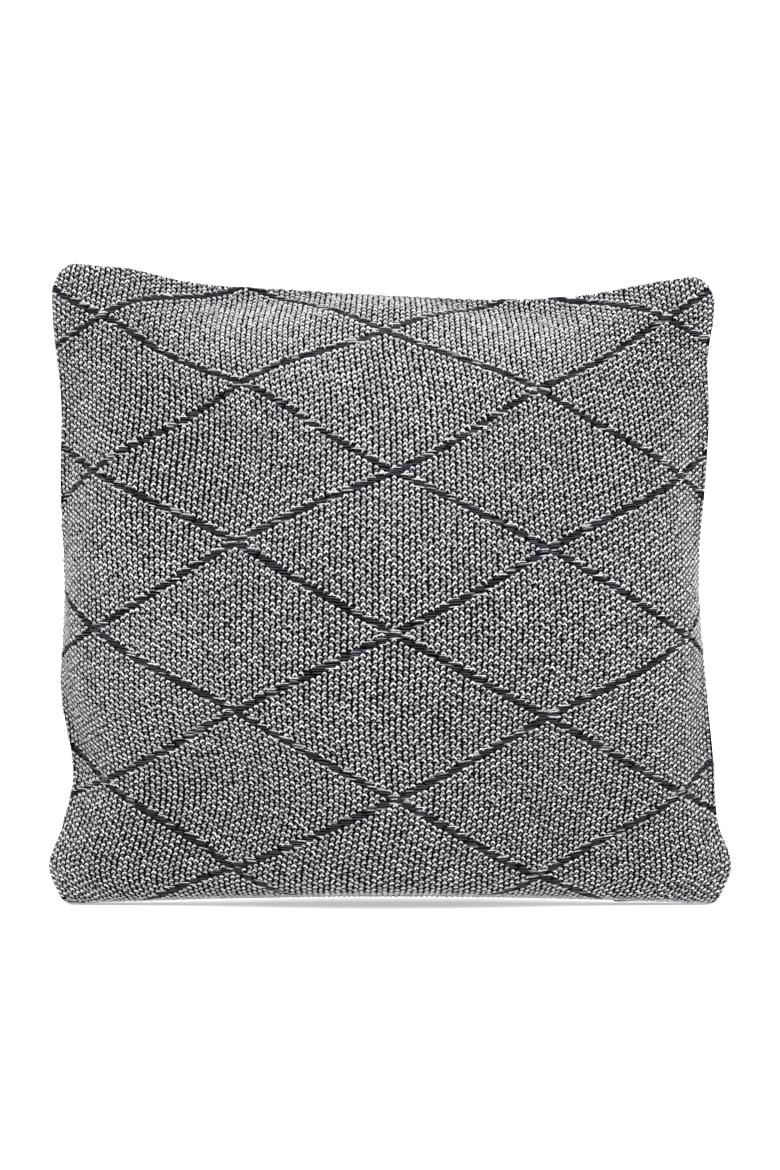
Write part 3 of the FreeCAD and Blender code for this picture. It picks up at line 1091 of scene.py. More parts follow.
@dataclass
class KnitCover:
    """The knitted cover: charcoal ground, light stitches, and the floats of the lattice lines.

    Attributes:
        form: The stuffed form's surfaces.
        finishes: Where materials come from.
        lay: How the knit lies on the flat panel.
        columns: Counts across that take in the whole panel, each way from the middle.
        rows: Counts up that take in the whole panel.
        line: Half the height of a lattice line, in rows.
        arm: Half the width of a light stitch.
        crown: How far up a light stitch's crown stands above its feet.
        yarn: Radius of the yarn.
        stand: How far a stitch's crown stands off the ground.
        sink: How far a strand's height is set down, so that its ends go into the ground.
        overhang: How far past a seam the light stitches still go.
        size_spread: How much stitches differ in size.
        slant_spread: How much they differ in slant.
        place_spread: How far they stand off their places, across and up.
        foot: Radius of the yarn where it dips under, midway to the next stitch up.
        foot_reach: Half the width and half the height of that bit of yarn.
        floats: A line's floats: (rows off the line, share of them that is seen). Those that
            aren't all seen are light.
        float_spread: How far the floats stand off their places, across and up.
        float_climb: How much a float climbs with its line, for its own length.
        float_bow: How far up the middle of a float bows.
        bands: Pieces that the light stitches of a panel are split into, from the bottom up.
    """

    form: dict[Side, Cloth]
    finishes: Finishes
    lay: KnitLay = field(default_factory=KnitLay)
    columns: int = 68
    rows: tuple[int, int] = (-34, 96)
    line: float = 0.80
    arm: float = 0.00128
    crown: float = 0.00145
    yarn: float = 0.00076
    stand: float = 0.00085
    sink: float = 0.0003
    overhang: float = 0.0006
    size_spread: float = 0.12
    slant_spread: float = 0.30
    place_spread: tuple[float, float] = (0.00020, 0.00024)
    foot: float = 0.00056
    foot_reach: tuple[float, float] = (0.0009, 0.0008)
    floats: tuple[tuple[float, float], ...] = (
        (-0.50, 1), (-0.10, 1), (0.30, 1), (0.66, 0.70), (0.50, 0.25), (0.10, 0.14), (-0.72, 0.45),
    )
    float_spread: tuple[float, float] = (0.0008, 0.00016)
    float_climb: float = 0.16
    float_bow: float = 0.00030
    bands: tuple[str, ...] = ("lower", "middle", "upper")

    def inside(self, cloth: Cloth, across: np.ndarray, up: np.ndarray, edge: float) -> np.ndarray:
        """Which places lie on the panel, edge in from its seams and 3 mm in from its cut hem."""
        top = cloth.low + (cloth.points.shape[1] - 1) * cloth.step
        return (np.abs(across) < -cloth.left - edge) & (up > cloth.low + 0.003) & (up < top - edge)

    def stitch_counts(self) -> tuple[np.ndarray, np.ndarray]:
        """The staggered lattice of light stitches: every other column is half a row higher."""
        columns = np.arange(-self.columns, self.columns + 1)
        c, r = np.meshgrid(columns, np.arange(*self.rows), indexing="ij")
        return c.ravel().astype(float), (r + 0.5 * (c % 2)).ravel()

    def strands(
        self, cloth: Cloth, across: np.ndarray, up: np.ndarray, shape: np.ndarray,
        radius: np.ndarray, rng: np.random.Generator, lowest: float = 0.50, sides: int = 4,
    ) -> tuple[np.ndarray, list[np.ndarray], np.ndarray, np.ndarray]:
        """Lays one short strand of yarn at each place on the cloth.

        A ring point's flat place is the strand's own path plus its sideways direction times
        radius * cos(angle); its height is the path's height plus 0.8 * radius * sin(angle).

        Args:
            cloth: The panel.
            across: Flat places of the strands' middles.
            up: The same, up the panel.
            shape: Each strand's path, shape (strands, rings, 3): across, up and height.
            radius: Radius at each ring, shape (rings,).
            rng: Where the tones come from.
            lowest: The lowest tone of a strand; the highest is 1.
            sides: Corners of a strand's section, 3 or 4.

        Returns:
            Vertices, faces, yarn map and tones.
        """
        along = unit(np.gradient(shape[..., :2], axis=1))
        sideways = np.stack([-along[..., 1], along[..., 0]], -1)
        angle = np.linspace(0, TURN, sides, endpoint=False) + math.pi / 4
        r = radius[None, :, None]
        cos, sin = np.cos(angle)[None, None], np.sin(angle)[None, None]
        flat = shape[:, :, None, :2] + sideways[:, :, None] * (r * cos)[..., None]
        height = shape[:, :, None, 2] + 0.8 * r * sin
        x, z = across[:, None, None] + flat[..., 0], up[:, None, None] + flat[..., 1]
        places = cloth.at(x, z, height)
        count, rings = shape.shape[:2]
        one = grid_faces(rings, sides, wrap=True, flip=cloth.side is Side.BACK)
        ring = np.arange(sides)
        caps = np.stack([ring[::-1], ring + (rings - 1) * sides])
        if cloth.side is Side.BACK:
            caps = caps[:, ::-1]
        starts = (np.arange(count) * rings * sides)[:, None, None]
        faces = [(part[None] + starts).reshape(-1, part.shape[1]) for part in (one, caps)]
        u = np.broadcast_to(np.linspace(0, 1, rings)[None, :, None], height.shape)
        v = np.broadcast_to(angle[None, None] / TURN, height.shape)
        tone = np.broadcast_to(rng.uniform(lowest, 1.0, count)[:, None, None], height.shape)
        return places.reshape(-1, 3), faces, np.stack([u, v], -1).reshape(-1, 2), tone.ravel()

    def add_strands(
        self, cloth: Cloth, word: str, laid: tuple[np.ndarray, ...], finish: Yarn
    ) -> bpy.types.Object:
        """Makes a piece of laid strands, which rides on the pillow.

        Args:
            cloth: The panel.
            word: What ends the piece's name.
            laid: What strands() returns.
            finish: The yarn.

        Returns:
            The piece.
        """
        points, faces, uv, tone = laid
        piece = add_mesh(f"cover_{cloth.side.word}_{word}", points, faces)
        add_uv(piece, "yarn", uv)
        add_tone(piece, tone)
        return self.finishes.dress(piece, finish, "knit")

    def ground(self, cloth: Cloth) -> bpy.types.Object:
        """The charcoal ground of a panel, behind the stitches, darker along the lattice lines."""
        columns, rows = cloth.points.shape[:2]
        across = cloth.left + np.arange(columns) * cloth.step
        up = cloth.low + np.arange(rows) * cloth.step
        a, u = np.meshgrid(across, up, indexing="ij")
        node = f"cover_{cloth.side.word}"
        faces = grid_faces(columns, rows, flip=cloth.side is Side.FRONT)
        piece = add_mesh(f"{node}_ground", cloth.points.reshape(-1, 3), [faces])
        column, row = self.lay.count(a.ravel(), u.ravel())
        add_uv(piece, "knit", np.stack([column, row], -1))
        add_tone(piece, np.clip((self.lay.off_line(column, row) - 0.5) / 0.6, 0.05, 1))
        return self.finishes.dress(piece, KNIT_GROUND, "knit", node=node)

    def light_stitches(self, cloth: Cloth, rng: np.random.Generator) -> list[bpy.types.Object]:
        """The light stitches of a panel: a short crown that bows up between two feet.

        Along a stitch q runs from -1 to 1: across is arm * q, up is crown * (0.45 - q * q), the
        height is stand * (1 - 0.8 * q * q) - sink, and the yarn thins by 0.38 * q * q.
        """
        column, row = self.stitch_counts()
        across, up = self.lay.place(column, row)
        clear = self.lay.off_line(column, row) > self.line
        keep = clear & self.inside(cloth, across, up, -self.overhang)
        across, up = across[keep], up[keep]
        q = np.linspace(-1, 1, 5)
        height = self.stand * (1 - 0.8 * q * q) - self.sink
        path = np.stack([self.arm * q, self.crown * (0.45 - q * q), height], -1)
        count = len(across)
        shape = path[None] * (1 + self.size_spread * rng.standard_normal((count, 1, 1)))
        shape[..., 1] += self.slant_spread * rng.standard_normal((count, 1)) * shape[..., 0]
        across = across + self.place_spread[0] * rng.standard_normal(count)
        up = up + self.place_spread[1] * rng.standard_normal(count)
        radius = self.yarn * (1 - 0.38 * q * q)
        edges = np.linspace(up.min() - 1e-6, up.max() + 1e-6, len(self.bands) + 1)
        pieces = []
        for k, band in enumerate(self.bands):
            part = (up > edges[k]) & (up <= edges[k + 1])
            laid = self.strands(cloth, across[part], up[part], shape[part], radius, rng)
            pieces.append(self.add_strands(cloth, f"stitches_{band}", laid, LIGHT_YARN))
        pieces.append(self.linking_feet(cloth, rng))
        return pieces

    def linking_feet(self, cloth: Cloth, rng: np.random.Generator) -> bpy.types.Object:
        """The yarn seen midway between the stitches of a column: a short slanting bit, set low, in the
        light yarn painted darker as shade.

        For q of -1 and 1, across is reach * slant * q and up is reach * q, where the slant is
        0.5 to 0.9 to either side.
        """
        column, row = self.stitch_counts()
        row = row + 0.5
        across, up = self.lay.place(column, row)
        keep = (self.lay.off_line(column, row) > self.line) & self.inside(cloth, across, up, 0.0004)
        across, up = across[keep], up[keep]
        count = len(across)
        slant = rng.choice([-1.0, 1.0], (count, 1)) * (0.5 + 0.4 * rng.random((count, 1)))
        q = np.array([[-1.0, 1.0]])
        wide, tall = self.foot_reach
        shape = np.stack([wide * slant * q, tall * q + 0 * slant, 0 * slant * q + 0.0001], -1)
        radius = np.full(2, self.foot)
        laid = self.strands(cloth, across, up, shape, radius, rng, lowest=0.1, sides=3)
        return self.add_strands(cloth, "stitch_feet", laid, SHADED_FOOT_YARN)

    def line_strands(self, cloth: Cloth, rng: np.random.Generator) -> list[bpy.types.Object]:
        """The lattice lines: level charcoal floats, one step up in every two columns.

        Thin light floats show between some of them, mostly on the rims. For q from -1 to 1, a
        float's path is reach * q across, climb * reach * q + bow * (1 - q * q) up, and stand *
        (1 - q ** 4) off the ground, less what its ends sink in; it thins by half * q ** 4.
        """
        steps = np.arange(-self.columns, self.columns + 1, 2).astype(float)
        row = self.lay.rise / self.lay.rows
        across_spread, up_spread = self.float_spread
        dark, light = [], []
        for way in (-0.5, 0.5):
            for k in range(-3, 7):
                centre = way * steps + k * self.lay.rows
                for offset, seen in self.floats:
                    across, up = self.lay.place(steps, centre)
                    across = across + across_spread * rng.standard_normal(len(steps))
                    up = up + offset * row + up_spread * rng.standard_normal(len(steps))
                    keep = self.inside(cloth, across, up, 0.0002)
                    if seen < 1:
                        keep &= rng.random(len(steps)) < seen
                    rows = np.stack([across[keep], up[keep], np.full(keep.sum(), way)], -1)
                    (light if seen < 1 else dark).append(rows)
        pieces = []
        q = np.linspace(-1, 1, 5)
        for make, groups in ((DARK_FLOAT, dark), (LIGHT_FLOAT, light)):
            across, up, way = np.concatenate(groups).T
            count = len(way)
            reach = make.half * (1 + 0.15 * rng.standard_normal((count, 1)))
            bow = self.float_bow * (1 - q[None] ** 2)
            shape = np.stack([
                reach * q[None],
                reach * q[None] * way[:, None] * self.float_climb + bow,
                np.broadcast_to(make.stand * (1 - q**4) - 0.0002, (count, len(q))),
            ], -1)
            radius = make.radius * (1 - 0.5 * q**4)
            laid = self.strands(cloth, across, up, shape, radius, rng, make.lowest)
            pieces.append(self.add_strands(cloth, make.word, laid, make.finish))
        return pieces

    def build(self) -> None:
        """Builds both panels."""
        for side, cloth in self.form.items():
            rng = np.random.default_rng(11 + side.value)
            ground = self.ground(cloth)
            yarn = self.light_stitches(cloth, rng) + self.line_strands(cloth, rng)
            log.info("cover %s: %d yarn pieces", side.word, len(yarn))


# ---------------------------------------------------------------------------------------------
# Inside the cover


@dataclass
class SeamAllowances:
    """The overlocked edges of the two panels, turned inside along the top and both sides.

    Attributes:
        form: The stuffed form's surfaces.
        finishes: Where materials come from.
        inset: How far the middle of the band lies in from the seam.
        half_width: Half the width of the band.
        half_thickness: Half the thickness of the two panels' edges.
        loop_pitch: Distance from one overlock loop to the next.
        thread: Radius of the overlock thread.
        share: The part of each edge that the band runs along.
        through: The direction from the front panel to the back one.
    """

    form: dict[Side, Cloth]
    finishes: Finishes
    inset: float = 0.0058
    half_width: float = 0.0024
    half_thickness: float = 0.0009
    loop_pitch: float = 0.0030
    thread: float = 0.00022
    share: float = 0.76
    through: np.ndarray = field(default_factory=lambda: np.array([0, 1.0, 0]))

    def edge(self, name: str) -> np.ndarray:
        """Even points along the seam of one edge of the cover, without the corners."""
        points = self.form[Side.FRONT].points
        line = {"left": points[0], "right": points[-1], "top": points[:, -1]}[name].copy()
        line[:, 1] = 0
        low = int(len(line) * (1 - self.share) / 2)
        return line[low:len(line) - low]

    def band(self, name: str, path: np.ndarray) -> None:
        """The two panels' cut edges along one seam: a flat elliptical section along the path."""
        radii = (self.half_width, self.half_thickness)
        piece = add_mesh(f"seam_band_{name}", *tube(path, radii, 14, self.through), closed=True)
        node = f"cover_seam_{name}"
        self.finishes.dress(piece, CHARCOAL_YARN, "knit", node=node, tone=BAND_TONE)

    def overlock(self, name: str, path: np.ndarray, across: np.ndarray) -> None:
        """The thread that winds round one band.

        It is the band's middle plus across * half_width * cos(angle) plus Y * half_thickness *
        sin(angle), where the angle turns once every loop_pitch.

        Args:
            name: The edge's name.
            path: The band's middle.
            across: The direction into the panel at each point of the path.
        """
        travel = np.concatenate([[0], np.cumsum(np.linalg.norm(np.diff(path, axis=0), axis=1))])
        length = travel[-1]
        fine = np.linspace(0.001, length - 0.001, int(length / self.loop_pitch * 12))
        centre, side = (
            np.stack([np.interp(fine, travel, line[:, k]) for k in range(3)], -1)
            for line in (path, across)
        )
        angle = (TURN * fine / self.loop_pitch)[:, None]
        wound = centre + unit(side) * (self.half_width + self.thread) * np.cos(angle)
        wound = wound + self.through * (self.half_thickness + self.thread) * np.sin(angle)
        along = unit(np.gradient(centre, axis=0))
        loops = tube(wound, (self.thread, self.thread), 4, along)
        piece = add_mesh(f"seam_overlock_{name}", *loops, closed=True)
        self.finishes.dress(piece, SEWING_THREAD, "overlock_thread", tone=THREAD_TONE)
        log.info("seam allowance %s: %d loops", name, int(length / self.loop_pitch))

    def build(self) -> None:
        """Builds each band and its thread."""
        middle = np.array([0, 0, PILLOW_MIDDLE])
        for name in ("top", "left", "right"):
            line = self.edge(name)
            across = np.cross(unit(np.gradient(line, axis=0)), self.through)
            across *= np.sign(np.sum((middle - line) * across, axis=1, keepdims=True))
            path = line + across * self.inset
            self.band(name, path)
            self.overlock(name, path, across)


@dataclass
class Insert:
    """The stuffed insert: two casing panels, their seams, a blank label and the fibre filling.

    Attributes:
        form: The stuffed form's surfaces.
        finishes: Where materials come from.
        inset: How far the casing's edge lies in from the cover's.
        floor: Height of the casing's lowest point, above the zip.
        gap: Depth left between the cover and the casing.
        lip: Half the cover's gap at the zip, taken off the casing's depth.
        wadding_gap: How far the filling lies inside the casing.
        lump: How deep the filling's lumps are.
        drawn_in: What the filling's width and height are scaled by.
        cells: Cells along a side of the casing's grid.
        flat: Side of the cover's flat panels.
        half_width: Half the width of the stuffed cover.
        thread: Radius of the casing's thread.
        fill: How tight the insert is stuffed, from 0 to 1; not used.
    """

    form: dict[Side, Cloth]
    finishes: Finishes
    inset: float = 0.0095
    floor: float = 0.0120
    gap: float = 0.0031
    lip: float = 0.0049
    wadding_gap: float = 0.0012
    lump: float = 0.0012
    drawn_in: float = 0.985
    cells: int = 96
    flat: float = 0.45
    half_width: float = 0.222
    thread: float = 0.0002
    fill: float = 0.75

    def panel(self, side: Side) -> np.ndarray:
        """One casing panel: the cover's panel, drawn in towards the middle and lifted off the zip.

        Depth is (cover depth - lip) times a share that leaves the gap at the fullest place;
        across and up are scaled so that the edge comes in by the inset.
        """
        cloth = self.form[side]
        line = np.linspace(0, self.flat, self.cells + 1)
        s, t = np.meshgrid(line - self.flat / 2, line, indexing="ij")
        points = cloth.at(s, t)
        depth = np.abs(points[..., 1])
        fullest = depth.max()
        share = (fullest - self.gap) / (fullest - self.lip)
        points[..., 0] *= 1 - self.inset / self.half_width
        low, high = points[..., 2].min(), points[..., 2].max()
        rise = high - self.inset - self.floor
        points[..., 2] = self.floor + (points[..., 2] - low) * rise / (high - low)
        points[..., 1] = side.value * np.maximum((depth - self.lip) * share, 0.00035)
        return points

    def casing(self) -> dict[Side, np.ndarray]:
        """Builds both casing panels and returns their grids."""
        n = self.cells + 1
        grids = {side: self.panel(side) for side in Side}
        for side, points in grids.items():
            faces = grid_faces(n, n, flip=side is Side.FRONT)
            piece = add_mesh(f"casing_{side.word}", points.reshape(-1, 3), [faces])
            node = f"insert_casing_{side.word}"
            self.finishes.dress(piece, CASING_CLOTH, "casing", node=node)
        return grids

    def wadding(self, grids: dict[Side, np.ndarray]) -> None:
        """The fibre filling: the casing's shape drawn in, with soft lumps, closed round its edge.

        The lumps are the mean of six products of a sine wave across and one up, with wave
        numbers from 10 to 110 a metre.
        """
        rng = np.random.default_rng(5)
        n = self.cells + 1
        waves = rng.uniform(-1, 1, (6, 4))

        def wave(place: np.ndarray, rate: float, start: float) -> np.ndarray:
            """One sine wave; rate and start run from -1 to 1."""
            return np.sin(place * (60 + 50 * rate) + 7 * start)

        shells = []
        for points in (grids[side].copy() for side in Side):
            x, y, z = np.moveaxis(points, -1, 0)
            lumps = sum(wave(x, a, b) * wave(z, c, d) for a, b, c, d in waves) / len(waves)
            depth = np.abs(y) - self.wadding_gap - self.lump * (1 + lumps)
            points[..., 1] = np.sign(y) * np.maximum(depth, 0.00015)
            points[..., 0] *= self.drawn_in
            points[..., 2] = PILLOW_MIDDLE + (z - PILLOW_MIDDLE) * self.drawn_in
            shells.append(points.reshape(-1, 3))
        front = grid_faces(n, n, flip=True)
        back = grid_faces(n, n) + n * n
        numbers = np.arange(n * n).reshape(n, n)
        ring = np.concatenate([
            numbers[:-1, 0], numbers[-1, :-1], numbers[:0:-1, -1], numbers[0, :0:-1],
        ])
        rim = np.stack([ring, np.roll(ring, -1), np.roll(ring, -1) + n * n, ring + n * n], -1)
        piece = add_mesh("fibre_wadding", np.concatenate(shells), [front, back, rim], closed=True)
        self.finishes.dress(piece, FIBRE, "fill", node="fibre_fill")

    def stitches(
        self, name: str, node: str, starts: np.ndarray, reach: float, half: float, drop: float
    ) -> None:
        """Thread loops under the casing's bottom seam, from one side of it to the other.

        A loop's path is x = start + reach * q, y = half * (2 * q - 1) and z = floor - 0.1 mm -
        drop * sin(pi * q), for q from 0 to 1.

        Args:
            name: The piece's name.
            node: The node that it stands for.
            starts: Places across of the loops' first ends.
            reach: How far a loop goes across.
            half: How far it goes to each side of the seam.
            drop: How far it hangs down.
        """
        q = np.linspace(0, 1, 7)
        height = self.floor - 0.0001 - drop * np.sin(math.pi * q)
        path = np.stack([reach * q, half * (2 * q - 1), height], -1)
        one = tube(path, (self.thread, self.thread), 5, WORLD_UP)
        places = np.stack([starts, 0 * starts, 0 * starts], -1)
        piece = add_mesh(name, *repeated(one, places), closed=True)
        self.finishes.dress(piece, WHITE_THREAD, "casing_thread", node=node, tone=THREAD_TONE)

    def build(self) -> None:
        """Builds the insert."""
        grids = self.casing()
        self.wadding(grids)
        edges = np.concatenate([
            np.arange(-0.190, -0.064, 0.0025), np.arange(0.064, 0.190, 0.0025),
        ])
        self.stitches("casing_edge_loops", "insert_edge_seam", edges, 0.0010, 0.0006, 0.0004)
        closing = -0.058 + 0.006 * np.arange(20)
        self.stitches("closing_stitches", "insert_closing_seam", closing, 0.0044, 0.0008, 0.0004)
        sewn, fold = (-0.0017, 0.0119), (-0.0017, 0.0106)
        tab("insert_tab", "insert_label", self.finishes, (0.090, 0.120), sewn, fold)
        log.info("insert: casing, wadding, seams and label")


def tab(
    name: str, node: str, finishes: Finishes, across: tuple[float, float],
    sewn: tuple[float, float], fold: tuple[float, float],
) -> None:
    """A blank satin label folded in two and sewn in at its open end.

    For q from -1 to 1, the section runs from the open end to the fold and back by 1 - q * q,
    and its two layers stand apart by tanh(4 * q), with a faint ripple across.

    Args:
        name: The piece's name.
        node: The node that it stands for.
        finishes: Where materials come from.
        across: Its ends along X.
        sewn: Y and Z of its open end.
        fold: Y and Z of its fold.
    """
    sewn_end, fold_end = np.array(sewn), np.array(fold)
    run = float(np.hypot(*(fold_end - sewn_end)))
    out = (fold_end - sewn_end)[::-1] / run * [1, -1]
    q = np.linspace(-1, 1, 21)
    x = np.linspace(*across, 16)
    grid_x, grid_q = np.meshgrid(x, q, indexing="ij")
    share = (1 - grid_q**2)[..., None]
    apart = (0.00018 * np.tanh(grid_q * 4) + 0.00005 * np.sin(grid_x * 500))[..., None]
    profile = sewn_end + (fold_end - sewn_end) * share + out * apart
    points = np.concatenate([grid_x[..., None], profile], -1).reshape(-1, 3)
    piece = add_mesh(name, points, [grid_faces(len(x), len(q))])
    finishes.dress(piece, LABEL_SATIN, "label", node=node)


# ---------------------------------------------------------------------------------------------
# The zip


@dataclass
class Zip:
    """The coil zip in the slot under the pillow, closed, with its slider at the right-hand end.

    Attributes:
        finishes: Where materials come from.
        tape_half: Half the length of the tapes.
        tape_edges: Inner and outer edge of a tape, from the middle.
        taper_start: Where the tapes' ends begin to fold in, from the middle.
        taper: How fast they fold in.
        tape_floor: Height of a tape's underside.
        tape: Thickness of a tape.
        chain: Ends of the coils.
        pitch: Distance from one turn of a coil to the next.
        wire: Radius of the coil's filament.
        coil_middle: Height of the coil's middle.
        coil_side: How far each coil's middle lies from the chain's.
        coil_reach: Half the coil's width and half its height, to the middle of the filament.
        stitches: Lockstitches in a row.
        stitch_pitch: Distance from one to the next.
        stitch_row: How far a row lies from the middle.
        opening: Place of the bar tacks, from the middle.
        slider: Place of the slider.
        pin: Height of the pin that the pull hangs on.
    """

    finishes: Finishes
    tape_half: float = 0.194
    tape_edges: tuple[float, float] = (0.0013, 0.0124)
    taper_start: float = 0.160
    taper: float = 0.20
    tape_floor: float = 0.0080
    tape: float = 0.0005
    chain: tuple[float, float] = (-0.159, 0.168)
    pitch: float = 0.0014
    wire: float = 0.00026
    coil_middle: float = 0.00715
    coil_side: float = 0.00115
    coil_reach: tuple[float, float] = (0.00113, 0.00056)
    stitches: int = 103
    stitch_pitch: float = 0.0034
    stitch_row: float = 0.0085
    opening: float = 0.1784
    slider: float = 0.1665
    pin: float = 0.0030

    def add(
        self, name: str, mesh: Mesh, finish: Yarn | Woven | Hard, slot: str, node: str,
        body: Body = Body.PILLOW,
    ) -> None:
        """Makes a closed piece of the zip.

        Args:
            name: The piece's name.
            mesh: Its vertices and faces.
            finish: What it is made of.
            slot: The record's material slot.
            node: The CAD node that it stands for.
            body: The body that it rides on.
        """
        piece = add_mesh(name, *mesh, closed=True)
        tone = THREAD_TONE if isinstance(finish, Yarn) else None
        self.finishes.dress(piece, finish, slot, body, node, tone)

    def tapes(self) -> None:
        """The woven tapes: a flat section with a bead at its inner edge, carried along X.

        Half the thickness is tape / 2 * (1 + 0.3 * bead), and the middle lifts in slow waves.
        Past taper_start the outer edge is folded in by taper for each metre along X.
        """
        inner, outer = self.tape_edges
        share = np.linspace(0, 1, 16)
        bead = np.exp(-(((share * (outer - inner)) - 0.0005) / 0.0004) ** 2)
        edge = np.sqrt(np.clip(1 - (2 * share - 1) ** 12, 0, 1))
        half = self.tape / 2 * (1 + 0.3 * bead) * np.maximum(edge, 0.15)
        y = np.concatenate([share, share[::-1]]) * (outer - inner) + inner
        rise = np.concatenate([half, -half[::-1]])
        x = np.linspace(-self.tape_half, self.tape_half, 260)
        for side in Side:
            wave = 0.00010 * np.sin(TURN * x / 0.037 + side.value)
            wave = wave + 0.00006 * np.sin(TURN * x / 0.0113)
            swell = np.sin(math.pi * (y - inner) / (outer - inner))
            z = self.tape_floor + self.tape / 2 + rise[None] + (wave[:, None] + 0.00016) * swell[None]
            width = outer - inner - self.taper * np.maximum(np.abs(x) - self.taper_start, 0)
            spread = inner + (y[None] - inner) * width[:, None] / (outer - inner)
            points = np.stack(np.broadcast_arrays(x[:, None], side.value * spread, z), -1)
            n = len(y)
            caps = [np.arange(n)[None], np.arange(n)[None, ::-1] + (len(x) - 1) * n]
            mesh = points.reshape(-1, 3), [grid_faces(len(x), n, wrap=True), *caps]
            word = side.word
            self.add(f"zip_tape_{word}", mesh, ZIP_TAPE, "zip_tape", f"zipper_tape_{word}")

    def coils(self) -> None:
        """The coils, whose filament turns round along X.

        y = middle - reach * sign(c) * |c| ** 0.8, where c is cos(angle), and z = middle + reach *
        sin(angle). The two coils turn half a pitch apart, so that their heads hook past each
        other.
        """
        turns = (self.chain[1] - self.chain[0]) / self.pitch
        angle = np.linspace(0, TURN * turns, int(turns * 10))
        x = self.chain[0] + angle / TURN * self.pitch
        wide, tall = self.coil_reach
        for side, phase in ((Side.FRONT, 0.0), (Side.BACK, math.pi)):
            y = side.value * (self.coil_side - wide * signed_power(np.cos(angle + phase), 0.8))
            z = self.coil_middle + tall * np.sin(angle + phase)
            path = np.stack([x, y, z], -1)
            mesh = tube(path, (self.wire, self.wire), 5, np.array([1.0, 0, 0]))
            word = side.word
            self.add(f"zip_coil_{word}", mesh, NYLON, "zip_coil", f"zipper_coil_{word}")

    def stitching(self) -> None:
        """The lockstitch rows that hold the tapes: each stitch sags at its ends by q * q."""
        x = (np.arange(self.stitches) - (self.stitches - 1) / 2) * self.stitch_pitch
        q = np.linspace(-1, 1, 6)
        path = np.stack([0.0013 * q, 0 * q, 0.00864 - 0.00022 * q**2], -1)
        one = tube(path, (0.00024, 0.00020), 6, WORLD_UP)
        for side in Side:
            row = np.full(self.stitches, side.value * self.stitch_row)
            mesh = repeated(one, np.stack([x, row, 0 * x], -1))
            name, node = f"zip_stitches_{side.word}", f"zipper_stitching_{side.word}"
            self.add(name, mesh, SEWING_THREAD, "stitching", node)

    def tacks(self) -> None:
        """The bar tacks that close the opening's ends: a zigzag of thread from lip to lip."""
        turns = 15
        q = np.linspace(0, 1, turns * 8 + 1)
        saw = 2 * np.abs((q * turns) % 1 - 0.5) * 2 - 1
        across = 2 * q - 1
        height = 0.0024 + 0.0003 * np.cos(math.pi * across)
        zigzag = np.stack([0.0010 * saw, 0.0045 * across, height], -1)
        tack = tube(zigzag, (0.00024, 0.00024), 6, WORLD_UP)
        mesh = repeated(tack, np.array([[-self.opening, 0, 0], [self.opening, 0, 0]]))
        self.add("zip_tacks", mesh, SEWING_THREAD, "stitching", "zipper_bar_tacks")

    def stops(self) -> None:
        """The crimped metal stops at the ends of the chain."""
        tops = joined([
            lozenge((0.1742, side * 0.00235, 0.00725), (0.0018, 0.00105, 0.00078), 5)
            for side in (-1, 1)
        ])
        self.add("zip_top_crimps", tops, STEEL, "zip_stop", "zipper_top_stops")
        bottom = lozenge((-0.1609, 0, 0.00705), (0.0017, 0.0032, 0.00095), 5)
        self.add("zip_bottom_crimp", bottom, STEEL, "zip_stop", "zipper_bottom_stop")

    def slider_body(self) -> None:
        """The slider: two rounded wings, side walls, the post that parts the coils, cheeks and pin."""
        x = self.slider
        lower_wing = lozenge((x, 0, 0.00545), (0.0048, 0.0039, 0.00047), 5, 11, 32)
        upper_wing = lozenge((x, 0, 0.00935), (0.0048, 0.0036, 0.00047), 5, 11, 32)
        post = lozenge((x + 0.0035, 0, 0.0074), (0.0008, 0.0008, 0.0019), 4)
        parts = [lower_wing, upper_wing, post]
        for side in (-1, 1):
            wall = lozenge((x, side * 0.00335, 0.0067), (0.0034, 0.0005, 0.0011), 5)
            cheek = lozenge((x, side * 0.00155, 0.0037), (0.0012, 0.00036, 0.0016), 3)
            parts += [wall, cheek]
        across = np.linspace(-0.0014, 0.0014, 5)
        pin = np.stack([np.full(5, x), across, np.full(5, self.pin)], -1)
        parts.append(tube(pin, (0.0006, 0.0006), 16, WORLD_UP))
        mesh = joined(parts)
        self.add("zip_slider", mesh, LACQUER, "zip_metal", "zipper_slider", Body.SLIDER)

    def pull_tag(self) -> None:
        """The pull: an eye round the pin, a neck, and a tapered tongue with a round window.

        A ray at each angle from the window's middle meets the window at its radius and the
        tongue's outline at a distance read off the outline's own points; the section between
        the two is a rounded rectangle.
        """
        x, floor, thick = self.slider, self.pin - 0.00105, 0.0012
        end, wide, narrow = x - 0.0158, 0.0032, 0.0010
        turn = np.linspace(math.pi / 2, 1.5 * math.pi, 25)
        arc = np.stack([end + wide * np.cos(turn), wide * np.sin(turn)], -1)
        run = np.linspace(0, 1, 20)[1:, None]
        side = arc[:1] * (1 - run) + np.array([[x - 0.0040, narrow]]) * run
        tip = np.stack([np.full(5, x - 0.0040), np.linspace(narrow, -narrow, 5)], -1)
        other = side[::-1] * np.array([1, -1])
        outline = np.concatenate([side[::-1], arc, other[::-1], tip[::-1][1:-1]])
        window = np.array([end + 0.0003, 0])
        ray = outline - window
        angles, reach = np.arctan2(ray[:, 1], ray[:, 0]), np.hypot(ray[:, 0], ray[:, 1])
        order = np.argsort(angles)
        rays, corners, spokes = 96, 16, 24
        phi = np.linspace(-math.pi, math.pi, rays, endpoint=False)[:, None]
        outer = np.interp(phi, angles[order], reach[order], period=TURN)
        psi = np.linspace(0, TURN, corners, endpoint=False)[None]
        share = 0.5 + 0.5 * signed_power(np.cos(psi), 0.4)
        height = floor + thick / 2 + thick / 2 * signed_power(np.sin(psi), 0.4) + 0 * phi
        radius = 0.0015 * (1 - share) + outer * share
        plate = np.stack([window[0] + radius * np.cos(phi), radius * np.sin(phi), height], -1)
